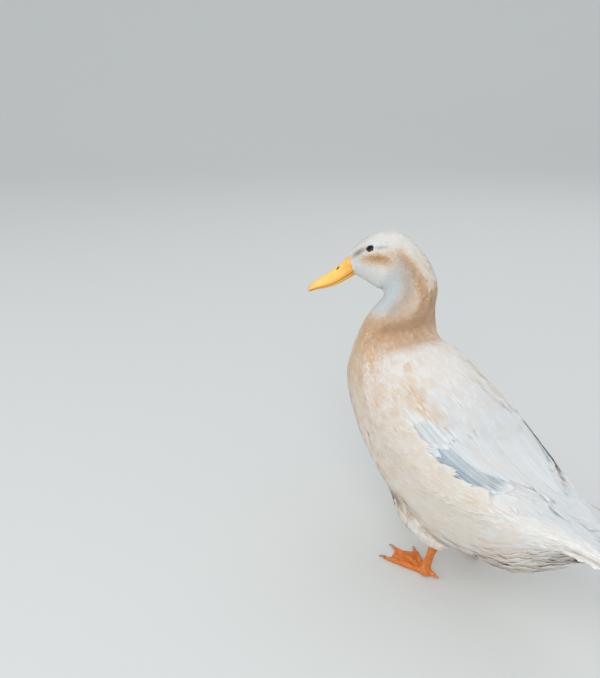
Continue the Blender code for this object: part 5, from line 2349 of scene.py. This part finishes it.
class Leg:
    """One bare leg: the scaled shank, the webbed foot and its claws."""

    scales = 15
    web_level = 0.0015
    foot_voxel = 0.0006

    def __init__(self, surface: BodySurface, side: Side) -> None:
        """Keeps the side and the place of the model."""
        self.side = side
        self.shift = np.array(surface.shift)

    def spot(self, forward: Array, height: Array, aside: Array = 0.0) -> Array:
        """Finds points of the leg.

        Args:
            forward: How far they lie ahead of the ankle.
            height: Their heights over the floor.
            aside: How far they lie out from the ankle.

        Returns:
            The points.
        """
        forward, height, aside = np.broadcast_arrays(forward, height, aside)
        x = self.side.value * (STANCE_HALF_WIDTH + aside)
        return np.stack([x, ANKLE_Y - forward, height], -1) + self.shift

    def along_toe(self, turn: float, reach: Array, out: Array, height: Array) -> Array:
        """Finds points of a toe or claw, none of them under the floor.

        Args:
            turn: How far the toe turns out.
            reach: How far along the toe the points lie.
            out: How far they lie beside its middle.
            height: Their heights.

        Returns:
            The points.
        """
        forward = reach * math.cos(turn) - out * math.sin(turn)
        aside = reach * math.sin(turn) + out * math.cos(turn)
        return self.spot(forward, np.maximum(height, 0.0), aside)

    def shank(self, finishes: Finishes) -> Piece:
        """Makes the shank, with a row of broad scales down its front.

        Args:
            finishes: The materials.

        Returns:
            The shank.
        """
        marks = (0, 0.15, 0.35, 0.60, 0.80, 0.92, 1.0)
        radii = (0.0060, 0.0052, 0.0047, 0.0048, 0.0058, 0.0072, 0.0074)

        def shape(u: Array, v: Array) -> Array:
            """Points of the shank."""
            share, angle = -0.06 + 1.12 * v, u * TURN
            front = smooth((-np.cos(angle) - 0.1) / 0.5)
            scale = (share * self.scales + 0.25 * np.cos(angle * 2)) % 1.0
            pits = 0.0002 * (1 - front) * np.abs(np.sin(share * 60) * np.sin(angle * 9))
            radius = np.interp(share, marks, radii) * (1 + 0.045 * front * (scale - 0.4)) - pits
            middle = self.spot(-SHANK_LEAN * share, ANKLE_HEIGHT + (HOCK_HEIGHT - ANKLE_HEIGHT) * share)
            return middle + closed_ring(angle) * radius[..., None]

        body = loft(f"shank_{self.side.word}_skin", 120, 48, shape)
        return placed(dressed(body, finishes.leg), (f"shank_{self.side.word}",))

    def ankle(self) -> Piece:
        """The short stub between the shank and the toes."""
        low, high = 0.0026, ANKLE_HEIGHT + 0.001

        def shape(u: Array, v: Array) -> Array:
            """Points of the stub."""
            radius = np.interp(v, (0, 0.5, 1), (0.0074, 0.0070, 0.0061))
            middle = self.spot(0.001 * (1 - v), low + (high - low) * v)
            return middle + closed_ring(u * TURN) * radius[..., None]

        return loft("stub", 12, 28, shape)

    def toe(self, turn: float, length: float) -> Piece:
        """Makes one long toe, with swollen joints.

        Args:
            turn: How far it turns out.
            length: Its length.

        Returns:
            The toe.
        """
        marks = (0.0, 0.22, 0.5, 0.78, 0.95, 1.0)
        radii = (0.0056, 0.0040, 0.0037, 0.0031, 0.0022, 0.0012)

        def shape(u: Array, v: Array) -> Array:
            """Points of the toe."""
            swelling = 1 + 0.14 * np.exp(-((v - 0.50) / 0.07) ** 2) + 0.14 * np.exp(-((v - 0.78) / 0.06) ** 2)
            radius = np.interp(v, marks, radii) * swelling
            radius = radius * (1 + 0.03 * np.sin(v * 90) * (np.cos(u * TURN) > 0))
            height = radius * 0.80 + radius * np.cos(u * TURN)
            return self.along_toe(turn, length * (1.02 * v - 0.02), radius * np.sin(u * TURN), height)

        return loft("toe", 48, 24, shape)

    def web(self, first: tuple[float, float], second: tuple[float, float]) -> Piece:
        """Makes the web between two toes, hollow along its front edge and lightly creased.

        Args:
            first: Turn and length of one toe.
            second: Those of the other toe.

        Returns:
            The web.
        """
        def shape(u: Array, v: Array) -> Array:
            """Points of the web."""
            across = np.where(u < 0.5, u * 2, 2 - u * 2)
            top = np.where(u < 0.5, 1.0, -1.0) * np.clip(np.sin(np.pi * across), 0.0, 1.0) ** 0.3
            turn = first[0] + (second[0] - first[0]) * across
            reach = (first[1] + (second[1] - first[1]) * across) * 0.93 * (0.06 + 0.94 * v)
            reach = reach * (1 - 0.13 * np.sin(np.pi * across) * v * v)
            crease = 0.00025 * np.sin(across * 34 + v * 3) * v
            height = self.web_level + 0.00065 * top + crease
            return self.spot(reach * np.cos(turn), np.maximum(height, 0.0), reach * np.sin(turn))

        return loft("web", 40, 48, shape)

    def claw(self, turn: float, length: float) -> Piece:
        """Makes one short, curved claw.

        Args:
            turn: How far its toe turns out.
            length: Its toe's length.

        Returns:
            The claw.
        """
        start, reach = -0.003, 0.0112

        def shape(u: Array, v: Array) -> Array:
            """Points of the claw."""
            radius = 0.0019 * (1 - v) ** 0.6 + 0.0002
            height = 0.0030 + 0.0006 * np.sin(np.pi * v) - 0.0022 * v**2 + radius * np.cos(u * TURN)
            return self.along_toe(turn, length + start + reach * v, radius * np.sin(u * TURN) * 0.8, height)

        return loft("claw", 14, 14, shape)

    def hind_toe(self) -> Piece:
        """The short hind toe, set a little above the floor."""
        def shape(u: Array, v: Array) -> Array:
            """Points of the hind toe."""
            radius = np.interp(v, (0, 0.6, 0.95, 1), (0.0038, 0.0028, 0.0016, 0.0009))
            height = 0.0085 - 0.0050 * v + radius * np.cos(u * TURN)
            return self.spot(-0.018 * v, height, -0.006 * v + radius * np.sin(u * TURN))

        return loft("hind_toe", 20, 18, shape)

    def build(self, finishes: Finishes) -> None:
        """Makes the shank, the foot and the claws."""
        self.shank(finishes)
        parts = [self.ankle()] + [self.toe(turn, length) for turn, length in TOES]
        parts += [self.web(TOES[0], TOES[1]), self.web(TOES[1], TOES[2]), self.hind_toe()]
        foot = melted(joined(f"foot_{self.side.word}_skin", parts), self.foot_voxel, 2)
        placed(dressed(flattened(foot), finishes.leg), (f"foot_{self.side.word}",))
        claws = joined(f"claws_{self.side.word}", [self.claw(turn, length) for turn, length in TOES])
        placed(dressed(flattened(claws), finishes.claw))


def flattened(body: Piece) -> Piece:
    """Lays whatever reaches below the floor flat on it."""
    places = vertex_places(body)
    places[:, 2] = np.maximum(places[:, 2], 0.0)
    move_points(body, places)
    return body


# Studio


@dataclass
class Studio:
    """The plain pale floor, the soft lights and the camera."""

    surface: BodySurface
    azimuth: float = math.radians(135.17)
    distance: float = 0.8646
    height: float = 0.6637
    pan: float = math.radians(12.65)
    pitch: float = math.radians(22.18)
    focal_pixels: float = 743.0
    frame_height: float = 678.0
    sensor: float = 36.0
    floor_half_width: float = 9.0
    floor_half_length: float = 7.0
    floor_start: float = 4.0
    flat_reach: float = 3.2
    cove_radius: float = 2.5

    def build(self, finishes: Finishes) -> None:
        """Sets the stage."""
        self.floor(finishes)
        self.camera()
        self.lamp("key", (1.5, 1.5, 2.0), 1.7, 30.0)
        self.lamp("fill", (2.1, -1.1, 1.5), 2.6, 10.0).visible_glossy = False
        self.lamp("rim", (-1.6, -1.2, 2.2), 2.2, 10.5).visible_glossy = False
        world = bpy.data.worlds.new("studio")
        world.use_nodes = True
        sky = world.node_tree.nodes["Background"]
        sky.inputs["Color"].default_value = (0.93, 0.96, 1.0, 1.0)
        sky.inputs["Strength"].default_value = 0.86
        bpy.context.scene.world = world
        bpy.context.scene.view_settings.view_transform = "Standard"

    def floor(self, finishes: Finishes) -> None:
        """Makes the floor, which bends up far behind the bird.

        Args:
            finishes: The materials.
        """
        bpy.ops.object.select_all(action="DESELECT")
        bpy.ops.mesh.primitive_grid_add(x_subdivisions=2, y_subdivisions=64, size=2.0)
        floor = bpy.context.object
        floor.name = floor.data.name = "floor"
        flat, start, radius = vertex_places(floor), self.flat_reach, self.cove_radius
        run = (flat[:, 1] + 1) * self.floor_half_length - self.floor_start
        bend = np.clip((run - start) / radius, 0.0, math.pi / 2)
        reach = np.minimum(run, start) + radius * np.sin(bend)
        rise = radius * (1 - np.cos(bend)) + np.maximum(run - start - radius * math.pi / 2, 0.0)
        look = self.heading()
        ahead = np.array([math.cos(look), math.sin(look)])
        aside = np.array([-ahead[1], ahead[0]])
        across = self.floor_half_width * flat[:, :1] * aside
        move_points(floor, np.concatenate([reach[:, None] * ahead + across, rise[:, None]], 1))
        bpy.ops.object.shade_smooth()
        dressed(floor, finishes.floor)
        floor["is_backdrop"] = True

    def heading(self) -> float:
        """The compass direction of the camera's look."""
        return math.atan2(math.cos(self.azimuth), -math.sin(self.azimuth)) + self.pan

    def camera(self) -> None:
        """The camera at the photograph's place."""
        azimuth, pitch, heading = self.azimuth, self.pitch, self.heading()
        spot = Vector((self.distance * math.sin(azimuth), -self.distance * math.cos(azimuth), self.height))
        level = math.cos(pitch)
        look = Vector((math.cos(heading) * level, math.sin(heading) * level, -math.sin(pitch)))
        data = bpy.data.cameras.new("camera")
        data.lens = self.focal_pixels / self.frame_height * self.sensor
        data.sensor_width = self.sensor
        data.clip_start = 0.01
        camera = linked("camera", data)
        camera.matrix_world = aimed(spot + self.surface.shift, look)
        bpy.context.scene.camera = camera

    def lamp(self, name: str, place: Place, size: float, power: float) -> Piece:
        """Adds one large soft light that looks at the bird.

        Args:
            name: The light's name.
            place: Where it hangs.
            size: Its width.
            power: Its power in watts.

        Returns:
            The light.
        """
        data = bpy.data.lights.new(name, "AREA")
        data.shape = "DISK"
        data.size = size
        data.energy = power
        lamp = linked(name, data)
        lamp.matrix_world = aimed(Vector(place), Vector((0.0, 0.0, 0.2)) - Vector(place))
        return lamp


def aimed(place: Vector, look: Vector) -> Matrix:
    """The transform of a lamp or camera at a place, by the way it looks."""
    return Matrix.Translation(place) @ look.to_track_quat("-Z", "Y").to_matrix().to_4x4()


def corners(box: Sequence[Sequence[float]]) -> list[list[float]]:
    """A box as plain lists of numbers."""
    return [[float(value) for value in corner] for corner in box]


def main() -> None:
    """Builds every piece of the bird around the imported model, then the stage."""
    logging.basicConfig(level=logging.INFO, format="%(message)s")
    cad_box = corners(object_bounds())
    bed = WingBed()
    surface = BodySurface(bed)
    finishes = Finishes()
    depth, markings = CoatDepth(), Markings()
    Skin(surface, depth, markings).build(finishes)
    Coat(surface, depth, markings).build(finishes)
    Tail(surface).build(finishes)
    bill = Bill(surface)
    bill.upper(finishes)
    bill.lower(finishes)
    for side in Side:
        ThighCoat(surface, side).build(finishes)
        Wing(surface, bed, markings, side).build(finishes)
        Eye(surface, side).build(finishes)
        Leg(surface, side).build(finishes)
    Studio(surface).build(finishes)
    {"cad": cad_box, "visual": corners(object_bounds())}


if __name__ == "__main__":
    main()
